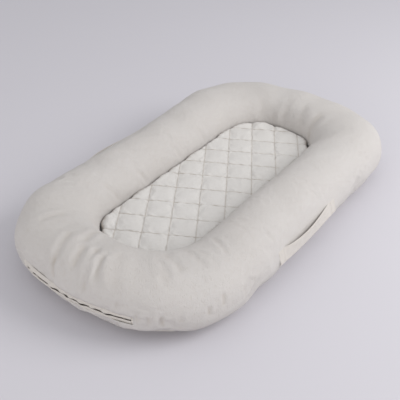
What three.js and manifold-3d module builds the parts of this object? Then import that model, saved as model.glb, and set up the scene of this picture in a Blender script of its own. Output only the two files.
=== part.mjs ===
import Module from "manifold-3d";
import * as THREE from "three";
import { mergeVertices } from "three/addons/utils/BufferGeometryUtils.js";

// Infant lounger: a padded ring round a quilted pad, with a zip across its foot end and two cloth handles
// Millimetres, +X towards the head end, +Z up, origin on the floor under the middle of the lounger

// Padded ring, measured at its widest height
const loungerLength = 880;
const loungerWidth = 506;
const endRadius = 430;
const cornerRadius = 172;
const crownHeight = 117;
const widestHeight = 52;

// Nest inside the ring
const nestLength = 590;
const nestWidth = 216;
const nestEndRadius = 285;
const nestCornerRadius = 88;

// Cloth and the sewn seam between the upper and the lower panel
const coverThickness = 1.6;
const beadRadius = 1.2;
const beadInset = 0.4;
const seamAngle = -51.5;
const coverLastAngle = 187;
const baseBendAngle = -58;
const baseFlatAngle = -66;
const fillingLowAngles = [-90, -70];
const fillingNestAngle = 225;
const seatGap = 0.3;

// Layers in the nest, from the core up
const coreTop = 43.6;
const coreGap = 1;
const floorThickness = 1.2;
const floorReach = 1.5;
const backingThickness = 2.3;
const backingInset = 6;

// Quilted pad: two families of stitched lines cross and leave a crowned cushion in each cell
const padGap = 5;
const padCrownHeight = 67;
const padEdgeRise = 2;
const padUndersideInset = 4;
const quiltPitchAcross = 53;
const quiltPitchAlong = 55.5;
const quiltAngleAcross = -63;
const quiltAngleAlong = 32.1;
const quiltOffsetX = 8.3;
const quiltOffsetY = 32.9;
const quiltCrossDepth = 9.5;
const quiltLineDepth = 8;
const quiltEdgePinch = 3;
const quiltPinchPower = 6;

// Zip, on the arc of the foot end
const placketLength = 260;
const slotHalfHeight = 8.3;
const slitHalfHeight = 2.1;
const lipProud = 1;
const lipThickness = 3.1;
const lipFold = 0.6;
const lipSlope = 1.8;
const lipShoulder = 1.1;
const endTackLength = 2.6;
const endTackThickness = 3.4;
const tapeThickness = 0.8;
const tapeHalfHeight = 11.5;
const toothPitch = 5;
const toothWidth = 2.1;
const toothDraft = 0.2;
const toothThickness = 2.4;
const toothTip = 0.9;
const spineInner = 1.3;
const spineOuter = 3;
const stopLength = 3;
const stopThickness = 1.1;
const stopHeight = 1.7;
const fillingRecess = 2.2;

// Slider and its pull
const sliderLength = 12;
const sliderPlate = 1.2;
const sliderWideHalf = 5.2;
const sliderNarrowHalf = 4.2;
const sliderShoulder = 4;
const rimThickness = 0.8;
const bridgeLength = 8;
const bridgeTaper = 0.8;
const bridgeBar = 0.9;
const bridgeThickness = 1.4;
const bridgeFoot = 1.2;
const pullLength = 20;
const pullThickness = 1;
const pullCheek = 0.8;
const pullYokeLength = 6;
const pinRadius = 0.5;
const pinClearance = 0.4;

// Cloth handles, sewn to the long sides
const handleOffset = -38;
const handleSpan = 184;
const handleWidth = 28;
const handleThickness = 2.4;
const handleSlack = 10;
const handleLowEdge = 48;
const tabLength = 17;

// How finely round shapes are divided
const endSteps = 10;
const cornerSteps = 8;
const sideSteps = 4;
const zipSteps = 20;
const strapSteps = 16;
const beadSides = 6;
const pinSides = 10;
const lineSteps = 2;
const coverTurns = [-25, 0, 30, 60, 90, 120, 155];

const radians = THREE.MathUtils.degToRad;
const weldDistance = seatGap / 100;
const wasm = await Module();
wasm.setup();

// Colours read from the photograph
const gauze = new THREE.MeshStandardMaterial({ color: 0xe2dcd3, roughness: 0.95, metalness: 0 });
const percale = new THREE.MeshStandardMaterial({ color: 0xe8e3da, roughness: 0.9, metalness: 0 });
const seamThread = new THREE.MeshStandardMaterial({ color: 0xefe9de, roughness: 0.85, metalness: 0 });
const underside = new THREE.MeshStandardMaterial({ color: 0xd8d0c4, roughness: 0.95, metalness: 0 });
const fibre = new THREE.MeshStandardMaterial({ color: 0xf5f5f2, roughness: 1, metalness: 0 });
const foam = new THREE.MeshStandardMaterial({ color: 0xf0ead6, roughness: 1, metalness: 0 });
const zipCloth = new THREE.MeshStandardMaterial({ color: 0xe6dccb, roughness: 0.85, metalness: 0 });
const zipPlastic = new THREE.MeshStandardMaterial({ color: 0xeee6d6, roughness: 0.45, metalness: 0 });
const zipMetal = new THREE.MeshStandardMaterial({ color: 0xb9b4a8, roughness: 0.35, metalness: 0.9 });

// Solids from loops: each loop is joined to the next, and the two ends are closed or joined to each other
function closedMesh(points, faces) {
  const positions = new Float32Array(faces.flat().flatMap((index) => points[index]));
  const geometry = new THREE.BufferGeometry();
  geometry.setAttribute("position", new THREE.BufferAttribute(positions, 3));
  return outward(mergeVertices(geometry, weldDistance));
}

function outward(geometry) {
  const index = geometry.index;
  const place = geometry.attributes.position;
  const corner = [new THREE.Vector3(), new THREE.Vector3(), new THREE.Vector3()];
  let volume = 0;
  for (let face = 0; face < index.count; face += 3) {
    corner.forEach((point, k) => point.fromBufferAttribute(place, index.getX(face + k)));
    volume += corner[0].dot(corner[1].clone().cross(corner[2]));
  }
  if (volume < 0) {
    for (let face = 0; face < index.count; face += 3) {
      const first = index.getX(face);
      index.setX(face, index.getX(face + 1));
      index.setX(face + 1, first);
    }
  }
  return geometry;
}

function capFaces(points, start, count) {
  const loop = points.slice(start, start + count);
  const normal = [0, 0, 0];
  loop.forEach((a, k) => {
    const b = loop[(k + 1) % count];
    for (let axis = 0; axis < 3; axis += 1) {
      const u = (axis + 1) % 3;
      const v = (axis + 2) % 3;
      normal[axis] += a[u] * b[v] - a[v] * b[u];
    }
  });
  const sizes = normal.map(Math.abs);
  const drop = sizes.indexOf(Math.max(...sizes));
  const flat = loop.map((p) => new THREE.Vector2(p[(drop + 1) % 3], p[(drop + 2) % 3]));
  const sign = normal[drop] > 0 ? 1 : -1;
  return THREE.ShapeUtils.triangulateShape(flat, []).map((face) => {
    const ordered = sign > 0 ? face : [face[0], face[2], face[1]];
    return ordered.map((index) => start + index);
  });
}

function loft(loops, closed = false) {
  const count = loops[0].length;
  const points = loops.flat();
  const faces = [];
  const spans = closed ? loops.length : loops.length - 1;
  for (let row = 0; row < spans; row += 1) {
    const here = row * count;
    const there = ((row + 1) % loops.length) * count;
    for (let k = 0; k < count; k += 1) {
      const next = (k + 1) % count;
      faces.push([here + k, here + next, there + next], [here + k, there + next, there + k]);
    }
  }
  if (!closed) {
    capFaces(points, 0, count).forEach((face) => faces.push([face[0], face[2], face[1]]));
    faces.push(...capFaces(points, points.length - count, count));
  }
  return closedMesh(points, faces);
}

function plate(outline, low, high) {
  return loft([low, high].map((z) => outline.map(([x, y]) => [x, y, z])));
}

// Joins and cuts between closed solids
function toSolid(geometry) {
  const bare = geometry.clone();
  bare.deleteAttribute("normal");
  bare.deleteAttribute("uv");
  const merged = mergeVertices(bare, weldDistance);
  const mesh = new wasm.Mesh({
    numProp: 3,
    vertProperties: new Float32Array(merged.attributes.position.array),
    triVerts: new Uint32Array(merged.index.array),
  });
  return new wasm.Manifold(mesh);
}

function fromSolid(solid) {
  const mesh = solid.getMesh();
  const geometry = new THREE.BufferGeometry();
  geometry.setAttribute("position", new THREE.BufferAttribute(mesh.vertProperties, 3));
  geometry.setIndex(new THREE.BufferAttribute(mesh.triVerts, 1));
  return geometry;
}

function joined(geometries) {
  return fromSolid(geometries.map(toSolid).reduce((sum, solid) => sum.add(solid)));
}

function box(xs, ys, zs) {
  const geometry = new THREE.BoxGeometry(xs[1] - xs[0], ys[1] - ys[0], zs[1] - zs[0]);
  return geometry.translate((xs[0] + xs[1]) / 2, (ys[0] + ys[1]) / 2, (zs[0] + zs[1]) / 2);
}

// Outline of end arcs, corner arcs and straight sides, all tangent, with the same stations whatever its size
function outline({ length, width, end, corner }, inset = 0) {
  const halfLength = length / 2 - inset;
  const halfWidth = width / 2 - inset;
  const endArc = end - inset;
  const cornerArc = corner - inset;
  const endCentre = halfLength - endArc;
  const cornerY = halfWidth - cornerArc;
  const cornerX = endCentre + Math.sqrt((endArc - cornerArc) ** 2 - cornerY ** 2);
  const turn = Math.atan2(cornerY, cornerX - endCentre);
  const points = [];
  const arc = (x, y, radius, from, to, steps) => {
    for (let k = 0; k < steps; k += 1) {
      const angle = from + ((to - from) * k) / steps;
      points.push([x + radius * Math.cos(angle), y + radius * Math.sin(angle)]);
    }
  };
  const side = (fromX, y) => {
    for (let k = 0; k < sideSteps; k += 1) {
      points.push([fromX * (1 - (2 * k) / sideSteps), y]);
    }
  };
  arc(endCentre, 0, endArc, -turn, turn, endSteps);
  arc(cornerX, cornerY, cornerArc, turn, Math.PI / 2, cornerSteps);
  side(cornerX, halfWidth);
  arc(-cornerX, cornerY, cornerArc, Math.PI / 2, Math.PI - turn, cornerSteps);
  arc(-endCentre, 0, endArc, Math.PI - turn, Math.PI + turn, endSteps);
  arc(-cornerX, -cornerY, cornerArc, Math.PI + turn, 1.5 * Math.PI, cornerSteps);
  side(-cornerX, -halfWidth);
  arc(cornerX, -cornerY, cornerArc, 1.5 * Math.PI, 2 * Math.PI - turn, cornerSteps);
  return points;
}

const ringSize = { length: loungerLength, width: loungerWidth, end: endRadius, corner: cornerRadius };
const nestSize = { length: nestLength, width: nestWidth, end: nestEndRadius, corner: nestCornerRadius };
const stations = outline(ringSize).map((_, k) => k);

// Ring section at a station: two half ellipses that meet at the widest height, drawn in below
function ringPoint(k, degrees, inset) {
  const angle = radians(degrees);
  const outer = outline(ringSize, inset)[k];
  const inner = outline(nestSize, -inset)[k];
  const rise = Math.sin(angle) > 0 ? crownHeight - widestHeight - inset : widestHeight - inset;
  const across = (1 + Math.cos(angle)) / 2;
  return [
    inner[0] + (outer[0] - inner[0]) * across,
    inner[1] + (outer[1] - inner[1]) * across,
    widestHeight + rise * Math.sin(angle),
  ];
}

const ringWidth = (loungerWidth - nestWidth) / 2;
const seamPace = Math.hypot(
  (ringWidth / 2) * Math.sin(radians(seamAngle)),
  widestHeight * Math.cos(radians(seamAngle)),
);
const seamReach = THREE.MathUtils.radToDeg((beadRadius + seatGap) / seamPace);
const coverAngles = [seamAngle + seamReach, ...coverTurns, coverLastAngle];

function coverTop() {
  const shell = stations.map((k) => [
    ...coverAngles.map((angle) => ringPoint(k, angle, 0)),
    ...coverAngles.toReversed().map((angle) => ringPoint(k, angle, coverThickness)),
  ]);
  return fromSolid(toSolid(loft(shell, true)).subtract(toSolid(zipSlot())));
}

function coverBase() {
  const level = (degrees, inset, z) => stations.map((k) => {
    const point = ringPoint(k, degrees, inset);
    return [point[0], point[1], z ?? point[2]];
  });
  const rim = seamAngle - seamReach;
  return loft([
    level(baseFlatAngle, 0, 0),
    level(baseBendAngle, 0),
    level(rim, 0),
    level(rim, coverThickness),
    level(baseBendAngle, coverThickness),
    level(baseFlatAngle, coverThickness, coverThickness),
  ]);
}

function seamBead() {
  const loops = stations.map((k) => {
    const centre = ringPoint(k, seamAngle, beadInset);
    const edge = ringPoint(k, 0, beadInset);
    const out = new THREE.Vector2(edge[0] - centre[0], edge[1] - centre[1]).normalize();
    return Array.from({ length: beadSides }, (_, side) => {
      const angle = (2 * Math.PI * side) / beadSides;
      const reach = beadRadius * Math.cos(angle);
      return [centre[0] + out.x * reach, centre[1] + out.y * reach, centre[2] + beadRadius * Math.sin(angle)];
    });
  });
  return loft(loops, true);
}

function fillingRing() {
  const inset = coverThickness + seatGap;
  const angles = [...fillingLowAngles, ...coverAngles, fillingNestAngle].reverse();
  const ring = loft(stations.map((k) => angles.map((angle) => ringPoint(k, angle, inset))), true);
  return fromSolid(toSolid(ring).subtract(toSolid(zipRecess())));
}

// Quilted pad
const padSize = {
  length: nestLength - 2 * padGap,
  width: nestWidth - 2 * padGap,
  end: nestEndRadius - padGap,
  corner: nestCornerRadius - padGap,
};
const floorTop = coreTop + seatGap + floorThickness;
const backingTop = floorTop + seatGap + backingThickness;
const quiltLow = backingTop + seatGap;
const quiltEdge = quiltLow + padEdgeRise;

const across = new THREE.Vector2(quiltPitchAcross, 0).rotateAround(new THREE.Vector2(), radians(quiltAngleAcross));
const along = new THREE.Vector2(quiltPitchAlong, 0).rotateAround(new THREE.Vector2(), radians(quiltAngleAlong));
const cellArea = Math.abs(across.cross(along));

function quiltNode(i, j) {
  return [quiltOffsetX + i * across.x + j * along.x, quiltOffsetY + i * across.y + j * along.y];
}

function quiltCoordinates([x, y]) {
  const offset = new THREE.Vector2(x - quiltOffsetX, y - quiltOffsetY);
  const scale = across.cross(along);
  return [offset.cross(along) / scale, across.cross(offset) / scale];
}

function areaOf(polygon) {
  return Math.abs(THREE.ShapeUtils.area(polygon.map(([x, y]) => new THREE.Vector2(x, y))));
}

// Part of a convex polygon that lies inside a convex outline that runs counterclockwise
function clipped(polygon, border) {
  let kept = polygon;
  border.forEach((a, k) => {
    const b = border[(k + 1) % border.length];
    const inside = ([x, y]) => (b[0] - a[0]) * (y - a[1]) - (b[1] - a[1]) * (x - a[0]);
    const next = [];
    kept.forEach((p, m) => {
      const q = kept[(m + 1) % kept.length];
      const here = inside(p);
      const there = inside(q);
      if (here >= 0) next.push(p);
      if (here * there < 0) {
        const share = here / (here - there);
        next.push([p[0] + (q[0] - p[0]) * share, p[1] + (q[1] - p[1]) * share]);
      }
    });
    kept = next;
  });
  return kept;
}

function padQuilt() {
  const border = outline(padSize);
  const borderGap = (point) => Math.min(...border.map((a, k) => {
    const b = border[(k + 1) % border.length];
    const run = Math.hypot(b[0] - a[0], b[1] - a[1]);
    return ((b[0] - a[0]) * (point[1] - a[1]) - (b[1] - a[1]) * (point[0] - a[0])) / run;
  }));
  const lineGap = (value) => Math.abs(value - Math.round(value));
  const onEdge = (point) => borderGap(point) < weldDistance;
  const drawnIn = (point, inset) => {
    const nearest = Math.min(...quiltCoordinates(point).map(lineGap));
    const pinch = quiltEdgePinch * Math.cos(Math.PI * nearest) ** quiltPinchPower + inset;
    const reach = Math.hypot(point[0], point[1]);
    return [point[0] * (1 - pinch / reach), point[1] * (1 - pinch / reach)];
  };
  const stitched = (point) => {
    if (onEdge(point)) return [...drawnIn(point, 0), quiltEdge];
    const farthest = Math.max(...quiltCoordinates(point).map(lineGap));
    const depth = THREE.MathUtils.lerp(quiltCrossDepth, quiltLineDepth, 2 * farthest);
    return [...point, padCrownHeight - depth];
  };
  const points = [];
  const faces = [];
  const rim = new Map();
  const reach = Math.ceil(nestLength / quiltPitchAcross);
  for (let i = -reach; i < reach; i += 1) {
    for (let j = -reach; j < reach; j += 1) {
      const corners = [quiltNode(i, j), quiltNode(i + 1, j), quiltNode(i + 1, j + 1), quiltNode(i, j + 1)];
      const edge = corners.flatMap((a, k) => {
        const b = corners[(k + 1) % 4];
        return Array.from({ length: lineSteps }, (_, step) => [
          a[0] + ((b[0] - a[0]) * step) / lineSteps,
          a[1] + ((b[1] - a[1]) * step) / lineSteps,
        ]);
      });
      const cell = clipped(edge, border);
      if (cell.length < 3) continue;
      cell.filter(onEdge).forEach((point) => rim.set(Math.atan2(point[1], point[0]).toFixed(5), point));
      addCushion(points, faces, cell.map(stitched), Math.min(1, Math.sqrt(areaOf(cell) / cellArea)));
    }
  }
  const loop = [...rim.entries()].sort((a, b) => a[0] - b[0]).map((entry) => entry[1]);
  const start = points.length;
  loop.forEach((point) => points.push([...drawnIn(point, 0), quiltEdge]));
  loop.forEach((point) => points.push([...drawnIn(point, padUndersideInset), quiltLow]));
  loop.forEach((_, k) => {
    const next = (k + 1) % loop.length;
    const under = start + loop.length;
    faces.push([start + k, start + next, under + next], [start + k, under + next, under + k]);
  });
  const low = capFaces(points, start + loop.length, loop.length);
  low.forEach((face) => faces.push([face[0], face[1], face[2]]));
  return closedMesh(points, faces.map((face) => face.toReversed()));
}

// One cell's cushion: its border, a shoulder ring half way in and a crown point over the middle
function addCushion(points, faces, border, fullness) {
  const count = border.length;
  const middle = [0, 1, 2].map((axis) => border.reduce((sum, p) => sum + p[axis], 0) / count);
  const rise = (padCrownHeight - middle[2]) * fullness;
  const shoulderShare = 0.56;
  const shoulderRise = rise * (1 - shoulderShare ** 2);
  const start = points.length;
  points.push(...border);
  border.forEach((p) => points.push([
    THREE.MathUtils.lerp(middle[0], p[0], shoulderShare),
    THREE.MathUtils.lerp(middle[1], p[1], shoulderShare),
    middle[2] + shoulderRise,
  ]));
  points.push([middle[0], middle[1], middle[2] + rise]);
  for (let k = 0; k < count; k += 1) {
    const next = (k + 1) % count;
    const inner = start + count;
    faces.push([start + next, start + k, inner + k], [start + next, inner + k, inner + next]);
    faces.push([inner + next, inner + k, start + 2 * count]);
  }
}

// Zip: places are given along the arc, in height over the zip's middle, and outwards from the chain
// The chain lies as deep as its flat tapes need to pass behind the cover, which leans in above and below,
// and as its slider needs to run behind the lips
const endRingWidth = (loungerLength - nestLength) / 2;
const zipLeans = [coverTurns[0], coverTurns[2]].map((degrees) => {
  const rise = (degrees > 0 ? crownHeight - widestHeight : widestHeight) * Math.sin(radians(Math.abs(degrees)));
  return ((endRingWidth / 2) * (1 - Math.cos(radians(degrees)))) / rise;
});
const tapeDepth = coverThickness + 2 * seatGap + tapeThickness / 2 + Math.max(...zipLeans) * tapeHalfHeight;
const plateLow = toothThickness / 2 + pinClearance;
const plateHigh = plateLow + sliderPlate;
const sliderDepth = plateHigh + 2 * seatGap + lipFold + lipThickness - lipProud;
const zipDepth = Math.max(tapeDepth, sliderDepth);
const cutReach = 2 * zipDepth;
const zipRadius = endRadius - zipDepth;
const zipCentreX = -(loungerLength / 2 - endRadius);
const placketHalf = placketLength / 2;
const zipLips = placketHalf - endTackLength - 2 * seatGap;
const lipOut = zipDepth + lipProud;
const lipIn = lipOut - lipFold - lipThickness;

function arcPoint([height, out], s) {
  const angle = s / zipRadius;
  const radius = zipRadius + out;
  return [zipCentreX - radius * Math.cos(angle), -radius * Math.sin(angle), widestHeight + height];
}

function alongArc(section, from, to, steps = zipSteps) {
  const loops = Array.from({ length: steps + 1 }, (_, k) => {
    const s = from + ((to - from) * k) / steps;
    return section.map((place) => arcPoint(place, s));
  });
  return loft(loops);
}

function rectangle(heights, outs) {
  return [[heights[0], outs[0]], [heights[1], outs[0]], [heights[1], outs[1]], [heights[0], outs[1]]];
}

function zipSlot() {
  const section = rectangle([-slotHalfHeight, slotHalfHeight], [-zipDepth, cutReach]);
  return alongArc(section, -placketHalf, placketHalf);
}

function zipRecess() {
  const half = tapeHalfHeight + fillingRecess;
  const section = rectangle([-half, half], [-toothThickness / 2 - seatGap, cutReach]);
  return alongArc(section, -placketHalf, placketHalf);
}

// Folded cloth lip: it slopes back from the slit to the edge of the slot, as the ring's surface does
function zipLip(side) {
  const far = slotHalfHeight - seatGap;
  const shoulder = slitHalfHeight + lipShoulder;
  const section = [
    [slitHalfHeight, lipIn],
    [slitHalfHeight, lipOut - lipFold],
    [shoulder, lipOut],
    [far, lipOut - lipSlope],
    [far, lipIn - lipFold],
    [sliderWideHalf, lipIn],
  ];
  return alongArc(section.map(([height, out]) => [side * height, out]), -zipLips, zipLips);
}

function zipTape(side) {
  const heights = [side * (spineOuter + seatGap), side * tapeHalfHeight];
  return alongArc(rectangle(heights, [-tapeThickness / 2, tapeThickness / 2]), -zipLips, zipLips);
}

// Row of moulded teeth on one spine: the two rows mesh with a gap at each flank and tip
const teethHalf = zipLips - stopLength - 2 * seatGap;
const toothCount = Math.floor((2 * teethHalf - toothWidth) / toothPitch);

function zipTeeth(side) {
  const outs = [-toothThickness / 2, toothThickness / 2];
  const first = (-toothCount * toothPitch) / 2 + (side > 0 ? 0 : toothPitch / 2);
  const loops = [];
  const section = (s, tip) => {
    const heights = [side * spineOuter, side * tip];
    loops.push(rectangle(heights, outs).map((place) => arcPoint(place, s)));
  };
  section(-teethHalf, spineInner);
  for (let k = 0; k < toothCount; k += 1) {
    const middle = first + k * toothPitch;
    section(middle - toothWidth / 2 - toothDraft, spineInner);
    section(middle - toothWidth / 2, -toothTip);
    section(middle + toothWidth / 2, -toothTip);
    section(middle + toothWidth / 2 + toothDraft, spineInner);
  }
  section(teethHalf, spineInner);
  return loft(loops);
}

const pinX = bridgeLength / 2 - bridgeFoot - pinClearance - pinRadius;
const pinZ = plateHigh + pinClearance + pinRadius;
const sliderRest = -(teethHalf - sliderLength / 2);
const sliderLast = zipLips - seatGap - pinX - pullLength;

function topStop(side) {
  const heights = [side * (spineOuter + seatGap), side * (spineOuter + seatGap + stopHeight)];
  const low = tapeThickness / 2 + seatGap;
  const section = rectangle(heights, [low, low + stopThickness]);
  return alongArc(section, -zipLips + seatGap, -zipLips + seatGap + stopLength, 1);
}

function endStop() {
  const reach = spineOuter + seatGap;
  const low = toothThickness / 2 + seatGap;
  const from = sliderLast + sliderLength / 2 + seatGap;
  return alongArc(rectangle([-reach, reach], [low, low + stopThickness]), from, from + stopLength, 1);
}

function placketTack(side) {
  const reach = slotHalfHeight - seatGap;
  const section = rectangle([-reach, reach], [lipIn - lipFold, lipIn - lipFold + endTackThickness]);
  return alongArc(section, side * (zipLips + seatGap), side * (placketHalf - seatGap), 1);
}

// Slider, along x, with its wide end towards the top stops, height along y and outwards along z
function slider() {
  const half = sliderLength / 2;
  const shield = new THREE.Shape();
  shield.moveTo(-half, -sliderWideHalf);
  shield.lineTo(half - sliderShoulder, -sliderWideHalf);
  shield.lineTo(half, -sliderNarrowHalf);
  shield.lineTo(half, sliderNarrowHalf);
  shield.lineTo(half - sliderShoulder, sliderWideHalf);
  shield.lineTo(-half, sliderWideHalf);
  const face = new THREE.ExtrudeGeometry(shield, { depth: sliderPlate, bevelEnabled: false });
  face.translate(0, 0, plateLow);
  const rims = [-1, 1].map((side) => {
    const inner = spineOuter + pinClearance;
    const ys = [side * inner, side * sliderNarrowHalf].sort((a, b) => a - b);
    return box([-half, half], ys, [plateLow - rimThickness, plateLow + sliderPlate / 2]);
  });
  const windowHigh = plateHigh + 2 * pinClearance + 2 * pinRadius;
  const foot = plateHigh - sliderPlate / 2;
  const reach = bridgeLength / 2;
  const arch = new THREE.Shape();
  arch.moveTo(-reach, foot);
  arch.lineTo(-reach + bridgeTaper, windowHigh + bridgeBar);
  arch.lineTo(reach - bridgeTaper, windowHigh + bridgeBar);
  arch.lineTo(reach, foot);
  arch.lineTo(reach - bridgeFoot, foot);
  arch.lineTo(reach - bridgeFoot, windowHigh);
  arch.lineTo(-reach + bridgeFoot, windowHigh);
  arch.lineTo(-reach + bridgeFoot, foot);
  const bridge = new THREE.ExtrudeGeometry(arch, { depth: bridgeThickness, bevelEnabled: false });
  bridge.translate(0, 0, -bridgeThickness / 2).rotateX(Math.PI / 2);
  return joined([face, ...rims, bridge]);
}

function pull() {
  const cheekIn = bridgeThickness / 2 + seatGap;
  const cheekOut = cheekIn + pullCheek;
  const zs = [pinZ - pullThickness / 2, pinZ + pullThickness / 2];
  const cheeks = [-1, 1].map((side) => {
    const ys = [side * cheekIn, side * cheekOut].sort((a, b) => a - b);
    return box([pinX - pinRadius, pinX + pullYokeLength + pullCheek], ys, zs);
  });
  const tab = box([pinX + pullYokeLength, pinX + pullLength], [-cheekOut, cheekOut], zs);
  const pin = new THREE.CylinderGeometry(pinRadius, pinRadius, 2 * cheekOut - seatGap, pinSides);
  pin.translate(pinX, 0, pinZ);
  return joined([pin, ...cheeks, tab]);
}

// Handle: a strap that leans on the ring's side, bowed out between its two sewn tabs
const handleHighEdge = handleLowEdge + handleWidth;
const leanAngle = radians(coverTurns[coverTurns.indexOf(0) + 1]);
const leanRun = (ringWidth / 2) * (1 - Math.cos(leanAngle));
const leanRise = (crownHeight - widestHeight) * Math.sin(leanAngle);
const handleLean = leanRun / leanRise;
const handleSeat = seatGap * Math.hypot(1, handleLean);

function strap(side, from, to, slack, steps) {
  const face = (z) => loungerWidth / 2 + handleSeat - (z - widestHeight) * handleLean;
  const loops = Array.from({ length: steps + 1 }, (_, k) => {
    const share = k / steps;
    const x = handleOffset + from + (to - from) * share;
    const bow = slack * Math.sin(Math.PI * share) ** 2;
    return [
      [x, side * (face(handleLowEdge) + bow), handleLowEdge],
      [x, side * (face(handleLowEdge) + bow + handleThickness), handleLowEdge],
      [x, side * (face(handleHighEdge) + bow + handleThickness), handleHighEdge],
      [x, side * (face(handleHighEdge) + bow), handleHighEdge],
    ];
  });
  return loft(loops);
}

// Assembly
const lounger = new THREE.Group();

function add(name, geometry, material, parent = lounger) {
  const mesh = new THREE.Mesh(geometry, material);
  mesh.name = name;
  parent.add(mesh);
}

add("cover_top", coverTop(), gauze);
add("cover_floor", plate(outline(nestSize, -floorReach), coreTop + seatGap, floorTop), percale);
add("cover_base", coverBase(), underside);
add("seam_bead", seamBead(), seamThread);
add("filling_ring", fillingRing(), fibre);
add("core", plate(outline(nestSize, coreGap), coverThickness + seatGap, coreTop), foam);
add("pad_quilt", padQuilt(), percale);
add("pad_backing", plate(outline(padSize, backingInset), floorTop + seatGap, backingTop), percale);

[["upper", 1], ["lower", -1]].forEach(([row, side]) => {
  add(`zip_lip_${row}`, zipLip(side), gauze);
  add(`zip_tape_${row}`, zipTape(side), zipCloth);
  add(`zip_teeth_${row}`, zipTeeth(side), zipPlastic);
  add(`zip_stop_${row}`, topStop(side), zipPlastic);
});
add("zip_stop_end", endStop(), zipPlastic);

const sliderFrame = new THREE.Group();
const sliderAngle = sliderRest / zipRadius;
sliderFrame.matrixAutoUpdate = false;
sliderFrame.matrix.makeBasis(
  new THREE.Vector3(Math.sin(sliderAngle), -Math.cos(sliderAngle), 0),
  new THREE.Vector3(0, 0, 1),
  new THREE.Vector3(-Math.cos(sliderAngle), -Math.sin(sliderAngle), 0),
);
sliderFrame.matrix.setPosition(...arcPoint([0, 0], sliderRest));
lounger.add(sliderFrame);
add("zip_slider", slider(), zipMetal, sliderFrame);
add("zip_pull", pull(), zipMetal, sliderFrame);

[["left", 1], ["right", -1]].forEach(([name, side]) => {
  add(`zip_tack_${name}`, placketTack(-side), seamThread);
  const half = handleSpan / 2;
  add(`handle_${name}`, strap(side, -half, half, handleSlack, strapSteps), gauze);
  add(`handle_tab_${name}_foot`, strap(side, -half - seatGap - tabLength, -half - seatGap, 0, 1), gauze);
  add(`handle_tab_${name}_head`, strap(side, half + seatGap, half + seatGap + tabLength, 0, 1), gauze);
});

export default lounger;
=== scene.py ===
import math
from functools import partial

import bpy
import numpy as np
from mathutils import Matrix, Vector


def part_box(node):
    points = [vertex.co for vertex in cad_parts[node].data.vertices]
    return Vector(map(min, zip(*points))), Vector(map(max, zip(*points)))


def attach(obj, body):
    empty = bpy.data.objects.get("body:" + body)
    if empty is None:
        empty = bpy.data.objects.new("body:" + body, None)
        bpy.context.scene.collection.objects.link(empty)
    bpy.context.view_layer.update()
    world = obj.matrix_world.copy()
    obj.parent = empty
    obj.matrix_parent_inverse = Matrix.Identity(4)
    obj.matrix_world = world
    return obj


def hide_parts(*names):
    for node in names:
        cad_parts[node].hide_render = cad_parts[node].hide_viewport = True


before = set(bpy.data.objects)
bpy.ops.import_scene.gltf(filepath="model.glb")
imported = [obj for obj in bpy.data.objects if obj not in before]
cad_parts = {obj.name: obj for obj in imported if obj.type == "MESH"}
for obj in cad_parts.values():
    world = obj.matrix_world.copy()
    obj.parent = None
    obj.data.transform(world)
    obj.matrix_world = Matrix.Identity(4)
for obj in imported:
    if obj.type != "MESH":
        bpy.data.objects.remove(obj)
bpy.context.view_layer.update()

# Infant lounger in metres: +X towards the head end, +Z up, the floor at z = 0


cameraView = {
    "place": (-1.07365, -0.73939, 0.90546),
    "azimuth": -54.2246,      # degrees round the lounger
    "elevation": 34.4428,     # degrees above the floor
    "lens": {"lens": 65.365, "sensor_width": 36, "clip_start": 0.05, "clip_end": 60},
}

studio = {
    "floorColour": (208, 206, 212),
    "floorTone": (1.2, 3),    # scale and detail of the noise that shades it by one level up and down
    "floorLook": {"Roughness": 0.9, "Specular IOR Level": 0.1},
    "floorSize": 40.0,
    "floorDrop": 0.0004,
    "worldColour": (0.985, 0.985, 1.0),
    "worldStrength": 0.66,
    # Each lamp: place, width, power, colour
    "lamps": (
        ("key", (0.95, -1.78, 1.44), 1.6, 34.5, (1.0, 0.994, 0.992)),
        ("fill", (-3.20, -0.20, 1.00), 2.2, 23.0, (1.0, 0.97, 0.95)),
    ),
}


# Linear light from the 0 to 255 values of a screen colour: ((c + 0.055) / 1.055) ^ 2.4 above the toe
def linearColour(red, green, blue):
    shares = np.array([red, green, blue]) / 255
    values = np.where(shares <= 0.04045, shares / 12.92, ((shares + 0.055) / 1.055) ** 2.4)
    return tuple(float(value) for value in values) + (1.0,)


def setAll(holder, values):
    for name, value in values.items():
        setattr(holder, name, value)


# Camera or lamp at a place, with its back turned to a way.
def placeObject(name, data, place, back):
    holder = bpy.data.objects.new(name, data)
    bpy.context.scene.collection.objects.link(holder)
    holder.location = place
    holder.rotation_mode = "QUATERNION"
    holder.rotation_quaternion = back.to_track_quat("Z", "Y")
    return holder


def addCamera():
    azimuth, elevation = math.radians(cameraView["azimuth"]), math.radians(cameraView["elevation"])
    level = math.cos(elevation)
    back = Vector((math.sin(azimuth) * level, -math.cos(azimuth) * level, math.sin(elevation)))
    lens = bpy.data.cameras.new("camera")
    setAll(lens, cameraView["lens"])
    bpy.context.scene.camera = placeObject("camera", lens, cameraView["place"], back)


addCamera()
print("camera placed")


coverLow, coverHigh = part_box("cover_top")
floorLow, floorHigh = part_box("cover_floor")
quiltLow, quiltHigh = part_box("pad_quilt")

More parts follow.
